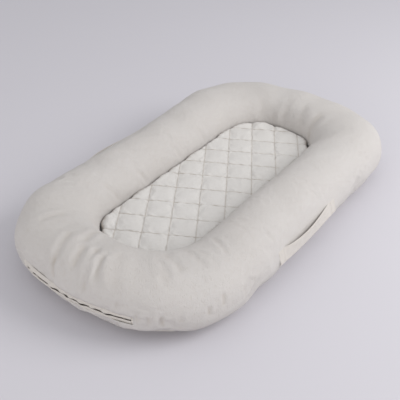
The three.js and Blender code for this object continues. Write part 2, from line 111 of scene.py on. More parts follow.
loungerForm = {
    "coverWall": 0.0016,
    "widestHeight": 0.052,
    "endRadius": 0.430,
    "cornerRadius": 0.172,
    "nestEndRadius": 0.285,
    "nestCornerRadius": 0.088,
    "floorReach": 0.0015,
    "padGap": 0.005,
    "stationCounts": (10, 8, 4, 8, 10, 8, 4, 8),
    "footStation": 35,                # middle of the foot end
    "seamAngle": -51.5,
    "coverFirst": -49.9,
    "coverLast": 187.0,
    "flare": (38.9, 1.7, 0.0085),     # station, reach in stations, how far the lower side stands out there
    "flareHeights": (-0.32, -0.80),   # sine of the section angle where it starts and where it is full
    "samples": (6001, 2001),          # along the outline and along the section, where evenness is measured
    "sampleStation": 22.0,
}

ringSize = {
    "length": coverHigh.x - coverLow.x,
    "width": coverHigh.y - coverLow.y,
    "end": loungerForm["endRadius"],
    "corner": loungerForm["cornerRadius"],
}
nestSize = {
    "length": floorHigh.x - floorLow.x - 2 * loungerForm["floorReach"],
    "width": floorHigh.y - floorLow.y - 2 * loungerForm["floorReach"],
    "end": loungerForm["nestEndRadius"],
    "corner": loungerForm["nestCornerRadius"],
}
crownHeight = coverHigh.z
stationCount = sum(loungerForm["stationCounts"])


# The same outline further in, by a gap all round.
def insetSize(size, gap):
    return {name: value - (2 * gap if name in ("length", "width") else gap) for name, value in size.items()}


# Smooth step from 0 at low to 1 at high: 3 s^2 - 2 s^3
def smoothStep(low, high, value):
    share = np.clip((value - low) / (high - low), 0, 1)
    return share * share * (3 - 2 * share)


# Bell of a value: e^-(value / reach)^2
def bell(value, reach):
    return np.exp(-(value / reach) ** 2)


# Length of the way along a row of points, up to each of them.
def runLengths(points):
    return np.concatenate([[0], np.cumsum(np.linalg.norm(np.diff(points, axis=0), axis=1))])


def unitWays(ways):
    return ways / np.linalg.norm(ways, axis=-1, keepdims=True)


def stackPoints(x, y, z):
    return np.stack(np.broadcast_arrays(x, y, z), -1)


# Even turns of a whole circle, in radians.
def circleTurns(count):
    return np.linspace(0, 2 * math.pi, count, endpoint=False)


# Sine or cosine made fuller, which turns a circle into a band with round edges: sign * |v|^p
def fuller(values, power):
    return np.sign(values) * np.abs(values) ** power


# Tangent end arcs, corner arcs and straight sides: centre + radius * (cos, sin) of an angle that
# grows evenly over the stations of its arc, counterclockwise from the head end.
def outlinePoints(size, inset, stations):
    halfLength, halfWidth = size["length"] / 2 - inset, size["width"] / 2 - inset
    endArc, cornerArc = size["end"] - inset, size["corner"] - inset
    endX, cornerY = halfLength - endArc, halfWidth - cornerArc
    cornerX = endX + math.sqrt((endArc - cornerArc) ** 2 - cornerY ** 2)
    turn = math.atan2(cornerY, cornerX - endX)
    half = math.pi / 2
    spans = (
        (endX, 0, endArc, -turn, turn),
        (cornerX, cornerY, cornerArc, turn, half),
        (cornerX, halfWidth, 0, half, half),
        (-cornerX, cornerY, cornerArc, half, 2 * half - turn),
        (-endX, 0, endArc, 2 * half - turn, 2 * half + turn),
        (-cornerX, -cornerY, cornerArc, 2 * half + turn, 3 * half),
        (-cornerX, -halfWidth, 0, 3 * half, 3 * half),
        (cornerX, -cornerY, cornerArc, 3 * half, 4 * half - turn),
    )
    turned = np.mod(stations, stationCount)
    points = np.zeros(turned.shape + (2,))
    first = 0
    for count, (x, y, radius, start, end) in zip(loungerForm["stationCounts"], spans):
        here = (turned >= first) & (turned < first + count)
        share = (turned[here] - first) / count
        if radius:
            angle = start + (end - start) * share
            points[here] = np.stack([x + radius * np.cos(angle), y + radius * np.sin(angle)], -1)
        else:
            points[here] = np.stack([x * (1 - 2 * share), np.full_like(share, y)], -1)
        first += count
    return points


# Ring section at a station: nest + (outer - nest) * (1 + cos a) / 2, at height middle + rise * sin a,
# where the rise is that of the crown above the widest height and that height itself below. Near one
# corner of the foot end the lower side stands out by flare * exp(-(way in stations / reach)^2).
def ringSurface(stations, angles, inset=0.0):
    stations, angles = np.broadcast_arrays(stations, angles)
    outer = outlinePoints(ringSize, inset, stations)
    inner = outlinePoints(nestSize, -inset, stations)
    middle = loungerForm["widestHeight"]
    rise = np.where(np.sin(angles) > 0, crownHeight - middle - inset, middle - inset)
    across = ((1 + np.cos(angles)) / 2)[..., None]
    height = (middle + rise * np.sin(angles))[..., None]
    station, reach, depth = loungerForm["flare"]
    start, full = loungerForm["flareHeights"]
    low = smoothStep(-start, -full, -np.sin(angles)) * (np.cos(angles) > 0)
    flare = depth * bell(np.mod(stations, stationCount) - station, reach) * low
    out = unitWays(outer - inner) * flare[..., None]
    return np.concatenate([inner + (outer - inner) * across + out, height], -1)


# Values of fine at even distances along its line of points, with the marks among them.
def evenPlaces(count, fine, line, marks):
    run = runLengths(line)
    ends = np.interp([fine[0], *marks, fine[-1]], fine, run)
    found = [fine[:1]]
    for start, end in zip(ends[:-1], ends[1:]):
        steps = max(2, round(count * (end - start) / run[-1]))
        found.append(np.interp(np.linspace(start, end, steps + 1)[1:], run, fine))
    return np.concatenate(found)


# Stations at even distances along the mean of the given outlines.
def evenStations(count, marks=(), sizes=(ringSize, nestSize)):
    fine = np.linspace(0, stationCount, loungerForm["samples"][0])
    line = sum(outlinePoints(size, 0, fine) for size in sizes) / len(sizes)
    return evenPlaces(count, fine, line, marks)[:-1]


# Section angles, in radians, at even distances along the ring's section.
def evenAngles(count, first, last, marks):
    fine = np.linspace(math.radians(first), math.radians(last), loungerForm["samples"][1])
    return evenPlaces(count, fine, ringSurface(loungerForm["sampleStation"], fine), marks)


def newPiece(name, points, faces, body, material, smooth=True):
    mesh = bpy.data.meshes.new(name)
    mesh.from_pydata(points.reshape(-1, 3).tolist(), [], faces)
    mesh.update()
    mesh.polygons.foreach_set("use_smooth", np.full(len(mesh.polygons), smooth))
    piece = bpy.data.objects.new(name, mesh)
    bpy.context.scene.collection.objects.link(piece)
    if material:
        mesh.materials.append(material)
    if body:
        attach(piece, body)
    return piece


# Quads of a grid of points numbered row by row from first.
def gridFaces(first, rows, columns, closedRows=False, closedColumns=False, reverse=False):
    rowSteps = rows if closedRows else rows - 1
    columnSteps = columns if closedColumns else columns - 1
    i, j = np.meshgrid(np.arange(rowSteps), np.arange(columnSteps), indexing="ij")
    row, nextRow, nextColumn = i * columns, (i + 1) % rows * columns, (j + 1) % columns
    faces = first + np.stack([row + j, nextRow + j, nextRow + nextColumn, row + nextColumn], -1)
    return faces[..., ::-1] if reverse else faces


# Marks of the points that the listed corners use, and each used point's new number.
def usedPoints(count, corners):
    used = np.zeros(count, bool)
    used[corners] = True
    return used, np.cumsum(used) - 1


# UV map in metres of cloth; a face that crosses the place where the cloth's length starts again
# gets that length added.
def addClothMap(piece, across, along):
    mesh = piece.data
    corners = np.zeros(len(mesh.loops), np.int32)
    mesh.loops.foreach_get("vertex_index", corners)
    starts = np.zeros(len(mesh.polygons), np.int32)
    mesh.polygons.foreach_get("loop_start", starts)
    sizes = np.diff(np.append(starts, len(corners)))
    u, v = across.ravel()[corners], along.ravel()[corners]
    whole = across.max() + np.abs(np.diff(np.unique(np.round(across, 6)))).min()
    highest = np.repeat(np.maximum.reduceat(u, starts), sizes)
    u = np.where(highest - u > whole / 2, u + whole, u)
    layer = mesh.uv_layers.new(name="cloth")
    layer.data.foreach_set("uv", np.stack([u, v], -1).astype(np.float32).ravel())


def setAttribute(piece, name, values):
    attribute = piece.data.attributes.new(name, "FLOAT", "POINT")
    attribute.data.foreach_set("value", values.astype(np.float32).ravel())


def coordinates(mesh):
    found = np.zeros(len(mesh.vertices) * 3, np.float32)
    mesh.vertices.foreach_get("co", found)
    return found.reshape(-1, 3).astype(float)


# Normals of a grid that is closed along its rows: the cross product of its two central differences.
def gridNormals(grid):
    along = np.roll(grid, -1, 0) - np.roll(grid, 1, 0)
    across = np.gradient(grid, axis=1)
    normals = np.cross(along, across)
    return normals / np.maximum(np.linalg.norm(normals, axis=-1, keepdims=True), 1e-12)


# Twice as fine a grid: points half way by (-p0 + 9 p1 + 9 p2 - p3) / 16, closed along the rows.
def refined(grid):
    before, after, beyond = np.roll(grid, 1, 0), np.roll(grid, -1, 0), np.roll(grid, -2, 0)
    rows = np.stack([grid, (-before + 9 * grid + 9 * after - beyond) / 16], 1).reshape(-1, *grid.shape[1:])
    padded = np.concatenate([2 * rows[:, :1] - rows[:, 1:2], rows, 2 * rows[:, -1:] - rows[:, -2:-1]], 1)
    middle = (-padded[:, :-3] + 9 * padded[:, 1:-2] + 9 * padded[:, 2:-1] - padded[:, 3:]) / 16
    fine = np.zeros((rows.shape[0], 2 * rows.shape[1] - 1, rows.shape[2]))
    fine[:, ::2], fine[:, 1::2] = rows, middle
    return fine


# Sum of count sines of random phase, whose lengths lie between two limits, scaled to about one.
def waves(values, seed, count, shortest, longest):
    draw = np.random.default_rng(seed)
    lengths = draw.uniform(shortest, longest, count)
    phases = draw.uniform(0, 2 * math.pi, count)
    total = sum(np.sin(2 * math.pi * values / length + phase) for length, phase in zip(lengths, phases))
    return total / math.sqrt(count / 2)


# Settings of a cloth run: the cloth's own, the levels of its spare cloth, frames and the cap of a way
def clothRun(quality, mass, stretch, shear, bending, spare, pressure, cap):
    cloth = {
        "quality": quality, "mass": mass, "tension_stiffness": stretch, "compression_stiffness": stretch,
        "shear_stiffness": shear, "bending_stiffness": bending, "air_damping": 1.0, "shrink_min": -spare,
        "uniform_pressure_force": pressure,
    }
    return {"cloth": cloth, "spareLevels": 12, "frames": 20, "cap": cap}


# Cloth run on a piece: pinned points stay, spare cloth, in levels, and air pressure move the others,
# and the way of each point is drawn back to cap * tanh(way / cap).
def simulateCloth(piece, settings, pinned, grown):
    scene = bpy.context.scene
    rest = coordinates(piece.data)
    piece.vertex_groups.new(name="pins").add(np.flatnonzero(pinned).tolist(), 1.0, "REPLACE")
    spare = piece.vertex_groups.new(name="spare")
    steps = settings["spareLevels"]
    levels = np.round(np.clip(grown, 0, 1) * steps).astype(int)
    for level in range(steps + 1):
        spare.add(np.flatnonzero(levels == level).tolist(), 1 - level / steps, "REPLACE")
    cloth = piece.modifiers.new("cloth", "CLOTH")
    setAll(cloth.settings, settings["cloth"])
    setAll(cloth.settings, {
        "vertex_group_mass": "pins", "pin_stiffness": 1, "vertex_group_shrink": "spare", "shrink_max": 0,
        "use_pressure": True})
    cloth.settings.effector_weights.gravity = 0
    setAll(cloth.point_cache, {"frame_start": 1, "frame_end": settings["frames"]})
    for step in range(1, settings["frames"] + 1):
        scene.frame_set(step)
    moved = coordinates(piece.evaluated_get(bpy.context.evaluated_depsgraph_get()).data)
    piece.modifiers.remove(cloth)
    scene.frame_set(1)
    way = moved - rest
    size = np.linalg.norm(way, axis=1, keepdims=True)
    cap = settings["cap"]
    kept = rest + way * (cap * np.tanh(size / cap) / np.maximum(size, 1e-9))
    mean, most = size.mean() * 1000, size.max() * 1000
    print(f"cloth on {piece.name}: moved {mean:.1f} mm on average, {most:.1f} at most")
    piece.vertex_groups.clear()
    return kept


# Gives each input of a node a value or another node's output.
def fillInputs(tree, node, inputs):
    for name, value in inputs.items():
        if isinstance(value, bpy.types.NodeSocket):
            tree.links.new(value, node.inputs[name])
        else:
            node.inputs[name].default_value = value


def addNode(tree, kind, inputs, **settings):
    node = tree.nodes.new("ShaderNode" + kind)
    setAll(node, settings)
    fillInputs(tree, node, inputs)
    return node


def mathNode(tree, operation, *values, clamp=False):
    return addNode(tree, "Math", dict(enumerate(values)), operation=operation, use_clamp=clamp).outputs[0]


def noiseNode(tree, vector, scale, detail=3.0, roughness=0.5, distortion=0.0):
    inputs = {"Scale": scale, "Detail": detail, "Roughness": roughness, "Distortion": distortion}
    return addNode(tree, "TexNoise", {"Vector": vector, **inputs}).outputs["Fac"]


def mixNode(tree, share, first, second, blend="MIX"):
    inputs = {0: share, 6: first, 7: second}
    return addNode(tree, "Mix", inputs, data_type="RGBA", blend_type=blend).outputs[2]


def bumpNode(tree, height, strength, distance, **before):
    inputs = {"Strength": strength, "Distance": distance, "Height": height, **before}
    return addNode(tree, "Bump", inputs).outputs["Normal"]


def newGroup(name, inputs, outputs):
    group = bpy.data.node_groups.new(name, "ShaderNodeTree")
    for label, kind, value in inputs:
        entry = group.interface.new_socket(name=label, in_out="INPUT", socket_type="NodeSocket" + kind)
        if value is not None:
            entry.default_value = value
    for label, kind in outputs:
        group.interface.new_socket(name=label, in_out="OUTPUT", socket_type="NodeSocket" + kind)
    return group, group.nodes.new("NodeGroupInput").outputs, group.nodes.new("NodeGroupOutput")


patterns = {
    "bend": (220, 2),         # scale and detail of the noise that bends the threads
    "sway": 0.0016,           # how far it bends them, in metres
    "slubs": (900, 2),
    # Crinkles, large and small: share of the size, detail, share of the height
    "crinkles": ((1.0, 3.0, 0.7), (2.6, 2.0, 0.3)),
    "crinkleNoise": (0.55, 0.6),
    "slowTone": (9, 4, 0.6),
}
heightAndTone = (("Height", "Float"), ("Tone", "Float"))


# Plain weave: warp and weft threads are half sines, and which one is on top changes from cell to cell.
def weaveGroup():
    inputs = (("Vector", "Vector", None), ("Pitch", "Float", 0.0008), ("Slub", "Float", 0.4))
    group, entry, result = newGroup("weave", inputs, heightAndTone)
    calc = partial(mathNode, group)
    bend = noiseNode(group, entry["Vector"], *patterns["bend"])
    sway = calc("MULTIPLY", calc("SUBTRACT", bend, 0.5), patterns["sway"])
    parts = addNode(group, "SeparateXYZ", {0: entry["Vector"]}).outputs
    cells = [calc("DIVIDE", calc("ADD", parts[axis], sway), entry["Pitch"]) for axis in (0, 1)]
    both = calc("ADD", calc("FLOOR", cells[0]), calc("FLOOR", cells[1]))
    checker = calc("MODULO", calc("ABSOLUTE", both), 2)
    threads = [calc("SINE", calc("MULTIPLY", calc("FRACT", cell), math.pi)) for cell in cells]
    warp = calc("MULTIPLY", threads[0], checker)
    weft = calc("MULTIPLY", threads[1], calc("SUBTRACT", 1, checker))
    slubs = noiseNode(group, entry["Vector"], *patterns["slubs"])
    height = calc("ADD", warp, weft)
    lifted = calc("ADD", height, calc("MULTIPLY", slubs, entry["Slub"]))
    fillInputs(group, result, {"Height": lifted, "Tone": height})
    return group


# Crinkled gauze: folded noise, 1 - |2 n - 1|, drawn out along one direction, at two sizes.
def crinkleGroup():
    inputs = (("Vector", "Vector", None), ("Size", "Float", 70.0), ("Stretch", "Float", 2.2))
    group, entry, result = newGroup("crinkle", inputs, heightAndTone)
    calc = partial(mathNode, group)
    drawn = addNode(group, "CombineXYZ", {0: 1, 1: entry["Stretch"], 2: 1}).outputs[0]
    scaled = addNode(group, "VectorMath", {0: entry["Vector"], 1: drawn}, operation="MULTIPLY").outputs[0]
    parts = []
    for share, detail, part in patterns["crinkles"]:
        size = calc("MULTIPLY", entry["Size"], share)
        noise = noiseNode(group, scaled, size, detail, *patterns["crinkleNoise"])
        turned = calc("ABSOLUTE", calc("SUBTRACT", calc("MULTIPLY", noise, 2), 1))
        parts.append(calc("MULTIPLY", calc("SUBTRACT", 1, turned), part))
    tone = noiseNode(group, entry["Vector"], *patterns["slowTone"])
    fillInputs(group, result, {"Height": calc("ADD", *parts), "Tone": tone})
    return group


# Painted shade from the piece's own crease value: hollows turn to the darker hollow colour, the rest keeps
# its own colour.
def creaseGroup():
    white = (1, 1, 1, 1)
    inputs = (
        ("Colour", "Color", white), ("Hollow", "Color", white), ("Amount", "Float", 1.0),
        ("Crease", "Float", 0.0))
    group, entry, result = newGroup("creaseShade", inputs, (("Colour", "Color"),))
    depth = mathNode(group, "MULTIPLY", entry["Crease"], entry["Amount"], clamp=True)
    fillInputs(group, result, {"Colour": mixNode(group, depth, entry["Colour"], entry["Hollow"])})
    return group


weave = weaveGroup()
crinkle = crinkleGroup()
creaseShade = creaseGroup()


def newMaterial(name):
    material = bpy.data.materials.new(name)
    material.use_nodes = True
    tree = material.node_tree
    return material, tree, addNode(tree, "TexCoord", {}).outputs["Object"]


# Woven cloth: colour by a slow tone, with painted shade in the weave's gaps, in the crinkles' hollows and in
# the creases; bump from crinkle and weave.
def clothMaterial(name, settings):
    material, tree, vector = newMaterial(name)
    colours = {key: linearColour(*settings[key]) for key in (
        "colour", "warmColour", "gapShade", "crinkleShade", "hollowShade")}
    calc = partial(mathNode, tree)
    if settings["map"]:
        vector = addNode(tree, "UVMap", {}, uv_map=settings["map"]).outputs["UV"]
    threadInputs = {"Vector": vector, "Pitch": settings["pitch"], "Slub": settings["slub"]}
    threads = addNode(tree, "Group", threadInputs, node_tree=weave).outputs
    foldInputs = {"Vector": vector, "Size": settings["crinkleSize"], "Stretch": settings["crinkleStretch"]}
    folds = addNode(tree, "Group", foldInputs, node_tree=crinkle).outputs
    slow = calc("MULTIPLY_ADD", folds["Tone"], *settings["toneGain"], clamp=True)
    colour = mixNode(tree, slow, colours["colour"], colours["warmColour"])
    # Painted shade in the gaps between the weave's threads
    gaps = calc("SUBTRACT", 1, threads["Tone"], clamp=True)
    gaps = calc("MULTIPLY", gaps, settings["gapAmount"])
    colour = mixNode(tree, gaps, colour, colours["gapShade"], "MULTIPLY")
    # Painted shade in the hollows of the crinkles
    low = calc("MULTIPLY_ADD", folds["Height"], *settings["crinkleGain"], clamp=True)
    low = calc("MULTIPLY", low, settings["crinkleAmount"])
    colour = mixNode(tree, low, colour, colours["crinkleShade"])
    # Painted shade in the creases, from the piece's crease value
    if settings["crease"]:
        crease = addNode(tree, "Attribute", {}, attribute_name="crease").outputs["Fac"]
        hollow = {"Hollow": colours["hollowShade"], "Amount": settings["crease"]}
        shade = {"Colour": colour, "Crease": crease, **hollow}
        colour = addNode(tree, "Group", shade, node_tree=creaseShade).outputs["Colour"]
    rough = calc("MULTIPLY_ADD", folds["Tone"], settings["roughSpread"], settings["roughness"], clamp=True)
    first = bumpNode(tree, folds["Height"], settings["crinkleStrength"], settings["crinkleDepth"])
    fine = settings["weaveStrength"], settings["weaveDepth"]
    second = bumpNode(tree, threads["Height"], *fine, Normal=first)
    surface = {"Base Color": colour, "Roughness": rough, "Normal": second, **settings["surface"]}
    fillInputs(tree, tree.nodes["Principled BSDF"], surface)
    return material


gauzeCloth = {
    "map": "cloth",
    "colour": (212, 209, 207),
    "warmColour": (207, 203, 200),
    "toneGain": (1.6, -0.3),
    "crinkleShade": (196, 190, 183),
    "crinkleGain": (-3.0, 2.6),
    "crinkleAmount": 0.75,
    "gapShade": (214, 209, 202),
    "gapAmount": 0.5,
    "hollowShade": (188, 178, 166),
    "crease": 0.9,
    "pitch": 0.0009,
    "slub": 0.5,
    "crinkleSize": 270.0,
    "crinkleStretch": 0.5,
    "crinkleDepth": 0.0014,
    "crinkleStrength": 1.0,
    "weaveStrength": 0.5,
    "weaveDepth": 0.0002,
    "roughness": 0.86,
    "roughSpread": 0.12,
    "surface": {"Specular IOR Level": 0.25, "Sheen Weight": 0.08, "Sheen Roughness": 0.5},
}
plainCotton = dict(
    gauzeCloth, map=None, colour=(223, 221, 219), warmColour=(219, 217, 214), pitch=0.0005, slub=0.2,
    crinkleSize=90.0, crinkleStretch=1.0, crinkleDepth=0.0007, crinkleStrength=0.4, crinkleAmount=0.2,
    crease=1.0, hollowShade=(176, 168, 160))
undersideCotton = dict(
    gauzeCloth, map=None, colour=(217, 213, 207), warmColour=(212, 207, 200), pitch=0.0011,
    crinkleSize=90.0, crease=0.0)
strapCloth = dict(
    gauzeCloth, map=None, colour=(217, 213, 208), warmColour=(213, 208, 203), crinkleDepth=0.0008, crease=0.0)
tapeCloth = dict(gauzeCloth, map=None, colour=(226, 217, 202), pitch=0.0007, crinkleDepth=0.0003, crease=0.0)

gauze = clothMaterial("gauze", gauzeCloth)
smoothCotton = clothMaterial("smooth_cotton", plainCotton)
undersideCloth = clothMaterial("underside_cotton", undersideCotton)
strapGauze = clothMaterial("strap_gauze", strapCloth)
zipTapeCloth = clothMaterial("zip_tape", tapeCloth)


# Colour between two shades by a pattern, the shader's other values, and bump from the pattern or a relief
def dressMaterial(material, pattern, shades, values, bump=None, relief=None, places=(0, 1)):
    tree = material.node_tree
    ramp = addNode(tree, "ValToRGB", {"Fac": pattern})
    for element, shade, place in zip(ramp.color_ramp.elements, shades, places):
        element.color = linearColour(*shade)
        element.position = place
    inputs = {"Base Color": ramp.outputs["Color"], **values}
    if bump:
        inputs["Normal"] = bumpNode(tree, pattern if relief is None else relief, *bump)
    fillInputs(tree, tree.nodes["Principled BSDF"], inputs)
    return material


# Each bump: strength and distance in metres
threadLook = {
    "wave": {"Scale": 900, "Distortion": 1.5},
    "shades": ((214, 206, 194), (240, 236, 228)),
    "values": {"Roughness": 0.6, "Sheen Weight": 0.2},
    "bump": (0.4, 0.0002),
}
fibreLook = {
    "noise": (6, 0.65, 0.8),
    "darkShare": 0.88,
    "values": {"Roughness": 0.95, "Sheen Weight": 0.3},
    "bump": (0.5, 0.002),
}
zipLook = {
    "dust": (320, 5, 0.7),
    "dustPlaces": (0.3, 0.6),
    "scratches": (2400, 2, 0.8),
    "roughSpread": 0.25,
    "roughDrop": 0.1,
    "bump": (0.15, 0.0001),
}


# Twisted sewing thread: slanting bands along the stitch, a slight sheen and a tone by place.
def threadMaterial():
    material, tree, place = newMaterial("sewing_thread")
    twist = addNode(tree, "TexWave", {"Vector": place, **threadLook["wave"]}, bands_direction="DIAGONAL")
    return dressMaterial(
        material, twist.outputs["Fac"], threadLook["shades"], threadLook["values"], threadLook["bump"])


# Loose fibre or padding: soft noise for tone and bump.
def fibreMaterial(name, colour, scale):
    material, tree, place = newMaterial(name)
    noise = noiseNode(tree, place, scale, *fibreLook["noise"])
    shades = [value * fibreLook["darkShare"] for value in colour], colour
    return dressMaterial(material, noise, shades, fibreLook["values"], fibreLook["bump"])


# Moulded plastic or brushed metal: fine scratches change roughness, and dust dulls the colour.
def zipMaterial(name, colour, dark, roughness, metallic):
    material, tree, place = newMaterial(name)
    dust, scratches = (noiseNode(tree, place, *zipLook[kind]) for kind in ("dust", "scratches"))
    base = roughness - zipLook["roughDrop"]
    rough = mathNode(tree, "MULTIPLY_ADD", scratches, zipLook["roughSpread"], base)
    values = {"Roughness": rough, "Metallic": metallic}
    return dressMaterial(
        material, dust, (dark, colour), values, zipLook["bump"], scratches, zipLook["dustPlaces"])


thread = threadMaterial()
fibreFilling = fibreMaterial("fibre_filling", (245, 245, 242), 90.0)
corePadding = fibreMaterial("core_padding", (240, 234, 214), 160.0)
zipPlastic = zipMaterial("zip_plastic", (238, 230, 214), (214, 204, 188), 0.42, 0.0)
zipMetal = zipMaterial("zip_metal", (190, 186, 176), (150, 145, 136), 0.34, 0.9)
print("materials made")


zipPlace = {
    "placketHalf": 0.130,
    "slotHalfHeight": 0.0083,
    "depth": 0.0061546,       # of the chain behind the cover
    "lipHalf": 0.1268,
}
zipPlace["radius"] = loungerForm["endRadius"] - zipPlace["depth"]
zipPlace["centreX"] = -(ringSize["length"] / 2 - loungerForm["endRadius"])

strapForm = {
    "middle": -0.038,
    "half": 0.092,
    "lowEdge": 0.048,
    "highEdge": 0.076,
    "thickness": 0.0024,
    "bow": {1: 0.0165, -1: 0.0110},
    "lowerShare": 0.15,       # of the bow, at the lower edge
    "peak": 0.40,             # share of the length, from the foot, where the bow is widest
    "bowEase": 0.08,
    "sag": 0.0012,
    "steps": 140,
    "fullness": (0.45, 0.7),  # powers of the section's width and thickness
    "tabGap": 0.0003,
    "tabLength": 0.017,
    "tabSteps": 16,
    "seat": 0.00031,
    "lean": 0.29886,
    "rows": (0.10, 0.88),     # of stitches, as shares of the width
    # The ring's plain form under a strap: way along from its middle, angles up where it starts and ends
    "plainAlong": (0.113, 0.150),
    "plainFrom": (-28, -8),
    "plainTo": (26, 46),
    # Cover held at the sewn ends: their middle and half length, and the angles between which they lie
    "tabMiddle": 0.101,
    "tabHold": 0.010,
    "tabAngles": (-6, 23),
    "sideFrom": (0.15, 0.2),  # least way from the lounger's middle line, for the plain form and the hold
}

coverForm = {
    "columns": 330,
    "rows": 56,
    "shoulder": 0.003,
    "lump": 0.0011,
    # Each lump: turns round the ring, half waves up the section, phase
    "lumps": ((5, 1, 0.9), (8, 2, 2.2), (13, 1, 4.0), (17, 3, 5.3), (23, 2, 1.4)),
    "nestHold": 0.030,
    "seamHold": 0.02,
    "fineHold": 0.012,
    "broadFold": 6,           # width in mm from which a fold is in the cloth run
    "leastFold": 4.4,
    # Share of the cloth run's way that stays: reach from the nest, and share and reach at the seam
    "settledNest": 0.016,
    "settledSeam": (0.3, 0.022),
    # Spare cloth: on the sides, more at the seam with its reach, more at the foot with its reach
    "spare": (0.14, 0.10, 0.026, 0.20, 7.0),
    # Painted shade in the folds and along the seam, as the crease value: gain of the fine folds, full depth,
    # power, share, share at the seam and its reach
    "crease": (1.3, 0.004, 1.4, 0.6, 0.95, 0.005),
}
coverCloth = clothRun(
    quality=6, mass=0.01, stretch=20.0, shear=5.0, bending=0.2, spare=0.045, pressure=2.0, cap=0.007)

# Each fold: station and section angle of its two ends, depth and width in mm
coverFolds = (
    (34.17, 84, 34.93, 47, 3.0, 8), (35.73, 88, 36.37, 26, 5.0, 6.5), (36.73, 80, 37.17, 44, 3.6, 6),
    (31.23, 92, 33.17, 41, 3.0, 9), (38.30, 95, 38.63, 41, 1.4, 10), (32.90, 46, 33.63, 19, 3.0, 5),
    (38.83, 25, 38.77, -28, 3.4, 3.5), (40.07, 17, 40.07, 0, 1.6, 3), (40.83, 14, 40.87, -2, 1.8, 3),
    (41.63, 16, 41.67, -5, 2.8, 3.5), (42.80, 15, 42.83, 3, 1.2, 3), (44.67, 21, 44.67, 7, 2.2, 3.5),
    (45.83, 32, 45.70, 13, 2.4, 4), (47.70, 22, 47.73, -2, 1.2, 3.5), (43.00, 116, 43.57, 74, 2.2, 8),
    (42.50, 113, 42.27, 59, 1.6, 10), (44.90, 121, 45.37, 72, 1.2, 9), (27.53, 106, 28.50, 67, 1.6, 9),
    (31.63, 128, 33.80, 88, 2.4, 8), (26.30, 162, 30.70, 80, 1.6, 10), (5.67, 158, 5.70, 106, 1.4, 9),
    (56.70, 175, 58.63, 116, 3.0, 12), (59.50, 154, 62.50, 110, 1.2, 9), (11.60, 162, 11.20, 122, 1.0, 10),
    (48.00, 114, 47.63, 76, 1.3, 5), (48.63, 106, 48.83, 45, 1.4, 5), (49.40, 134, 49.30, 88, 1.2, 5),
    (48.47, 119, 48.50, 82, 1.0, 4), (50.33, 134, 50.03, 74, 1.2, 5), (45.73, 108, 46.27, 74, 1.2, 5),
    (21.70, 166, 21.80, 131, 1.3, 6), (20.80, 175, 20.97, 139, 1.2, 6), (19.67, 173, 19.83, 137, 1.2, 6),
    (18.73, 171, 18.93, 136, 1.0, 6),
)
foldForm = {
    "plainHalf": 0.3,         # share of a fold's length on either side of its middle where it has its depth
    "fade": 0.2,
    "ridge": (0.48, 1.7, 0.8),
}

# Each swelling: station, section angle, height in mm, reach in stations and in degrees
coverSwellings = (
    (19.7, 70, -3.0, 1.6, 45), (49.6, 128, 3.0, 1.5, 35), (36.5, 60, 2.5, 3.0, 40), (24.0, 90, 2.0, 2.0, 50),
    (55.0, 80, 2.0, 2.5, 50), (5.0, 80, 1.5, 3.0, 40), (39.5, -25, 3.0, 1.6, 25), (20.3, 52, -11.0, 1.2, 20),
)


# Depth of a set of folds: a hollow exp(-(d/w)^2) along a line, with a low ridge on either side, by
# ridge's share, its way and its width in w, and both fade out towards the ends of the line.
def foldDepth(points, folds):
    depth = np.zeros(points.shape[:-1])
    ridge, ridgeAway, ridgeWidth = foldForm["ridge"]
    for stationA, angleA, stationB, angleB, hollow, width in folds:
        ends = ringSurface(np.array([stationA, stationB]), np.radians([angleA, angleB]))
        run = ends[1] - ends[0]
        share = ((points - ends[0]) @ run) / (run @ run)
        nearest = ends[0] + np.clip(share, 0, 1)[..., None] * run
        away = np.linalg.norm(points - nearest, axis=-1)
        reach = width / 1000
        fade = bell(np.maximum(0, np.abs(share - 0.5) - foldForm["plainHalf"]), foldForm["fade"])
        valley = bell(away, reach) - ridge * bell(away - ridgeAway * reach, ridgeWidth * reach)
        depth += hollow / 1000 * fade * valley
    return depth


# Stations and angles of the cover's grid, with grid lines at the edges of the zip's slot, and these
# lines' numbers: first and last station, first and last angle
def coverGrid():
    sector = zipPlace["placketHalf"] / zipPlace["radius"]
    cornerY = ringSize["width"] / 2 - ringSize["corner"]
    turn = math.asin(cornerY / (ringSize["end"] - ringSize["corner"]))
    arcHalf = loungerForm["stationCounts"][4] // 2
    slotStations = [loungerForm["footStation"] + way * arcHalf * sector / turn for way in (-1, 1)]
    middle = loungerForm["widestHeight"]
    slotAngles = [
        math.asin(-zipPlace["slotHalfHeight"] / middle),
        math.asin(zipPlace["slotHalfHeight"] / (crownHeight - middle)),
    ]
    stations = evenStations(coverForm["columns"], slotStations)
    angles = evenAngles(coverForm["rows"], loungerForm["coverFirst"], loungerForm["coverLast"], slotAngles)
    hole = [int(np.abs(stations - mark).argmin()) for mark in slotStations]
    hole += [int(np.abs(angles - mark).argmin()) for mark in slotAngles]
    return stations, angles, hole


coverStations, coverAngles, slotHole = coverGrid()
coverStation, coverAngle = np.meshgrid(coverStations, coverAngles, indexing="ij")
coverDegrees = np.degrees(coverAngle)
coverBase = ringSurface(coverStation, coverAngle)
coverRun = runLengths(coverBase.mean(1))
coverRise = runLengths(coverBase[100])
wholeRun = coverRun[-1] + coverRun[1]
nestHold = smoothStep(0, coverForm["nestHold"], coverRise[-1] - coverRise[None, :])


# 1 away from the straps and 0 where a strap or its sewn ends lie on the ring, which stays plain there
def strapFree():
    along = 1 - smoothStep(*strapForm["plainAlong"], np.abs(coverBase[..., 0] - strapForm["middle"]))
    up = smoothStep(*strapForm["plainFrom"], coverDegrees)
    down = 1 - smoothStep(*strapForm["plainTo"], coverDegrees)
    return 1 - along * (up * down) * (np.abs(coverBase[..., 1]) > strapForm["sideFrom"][0])


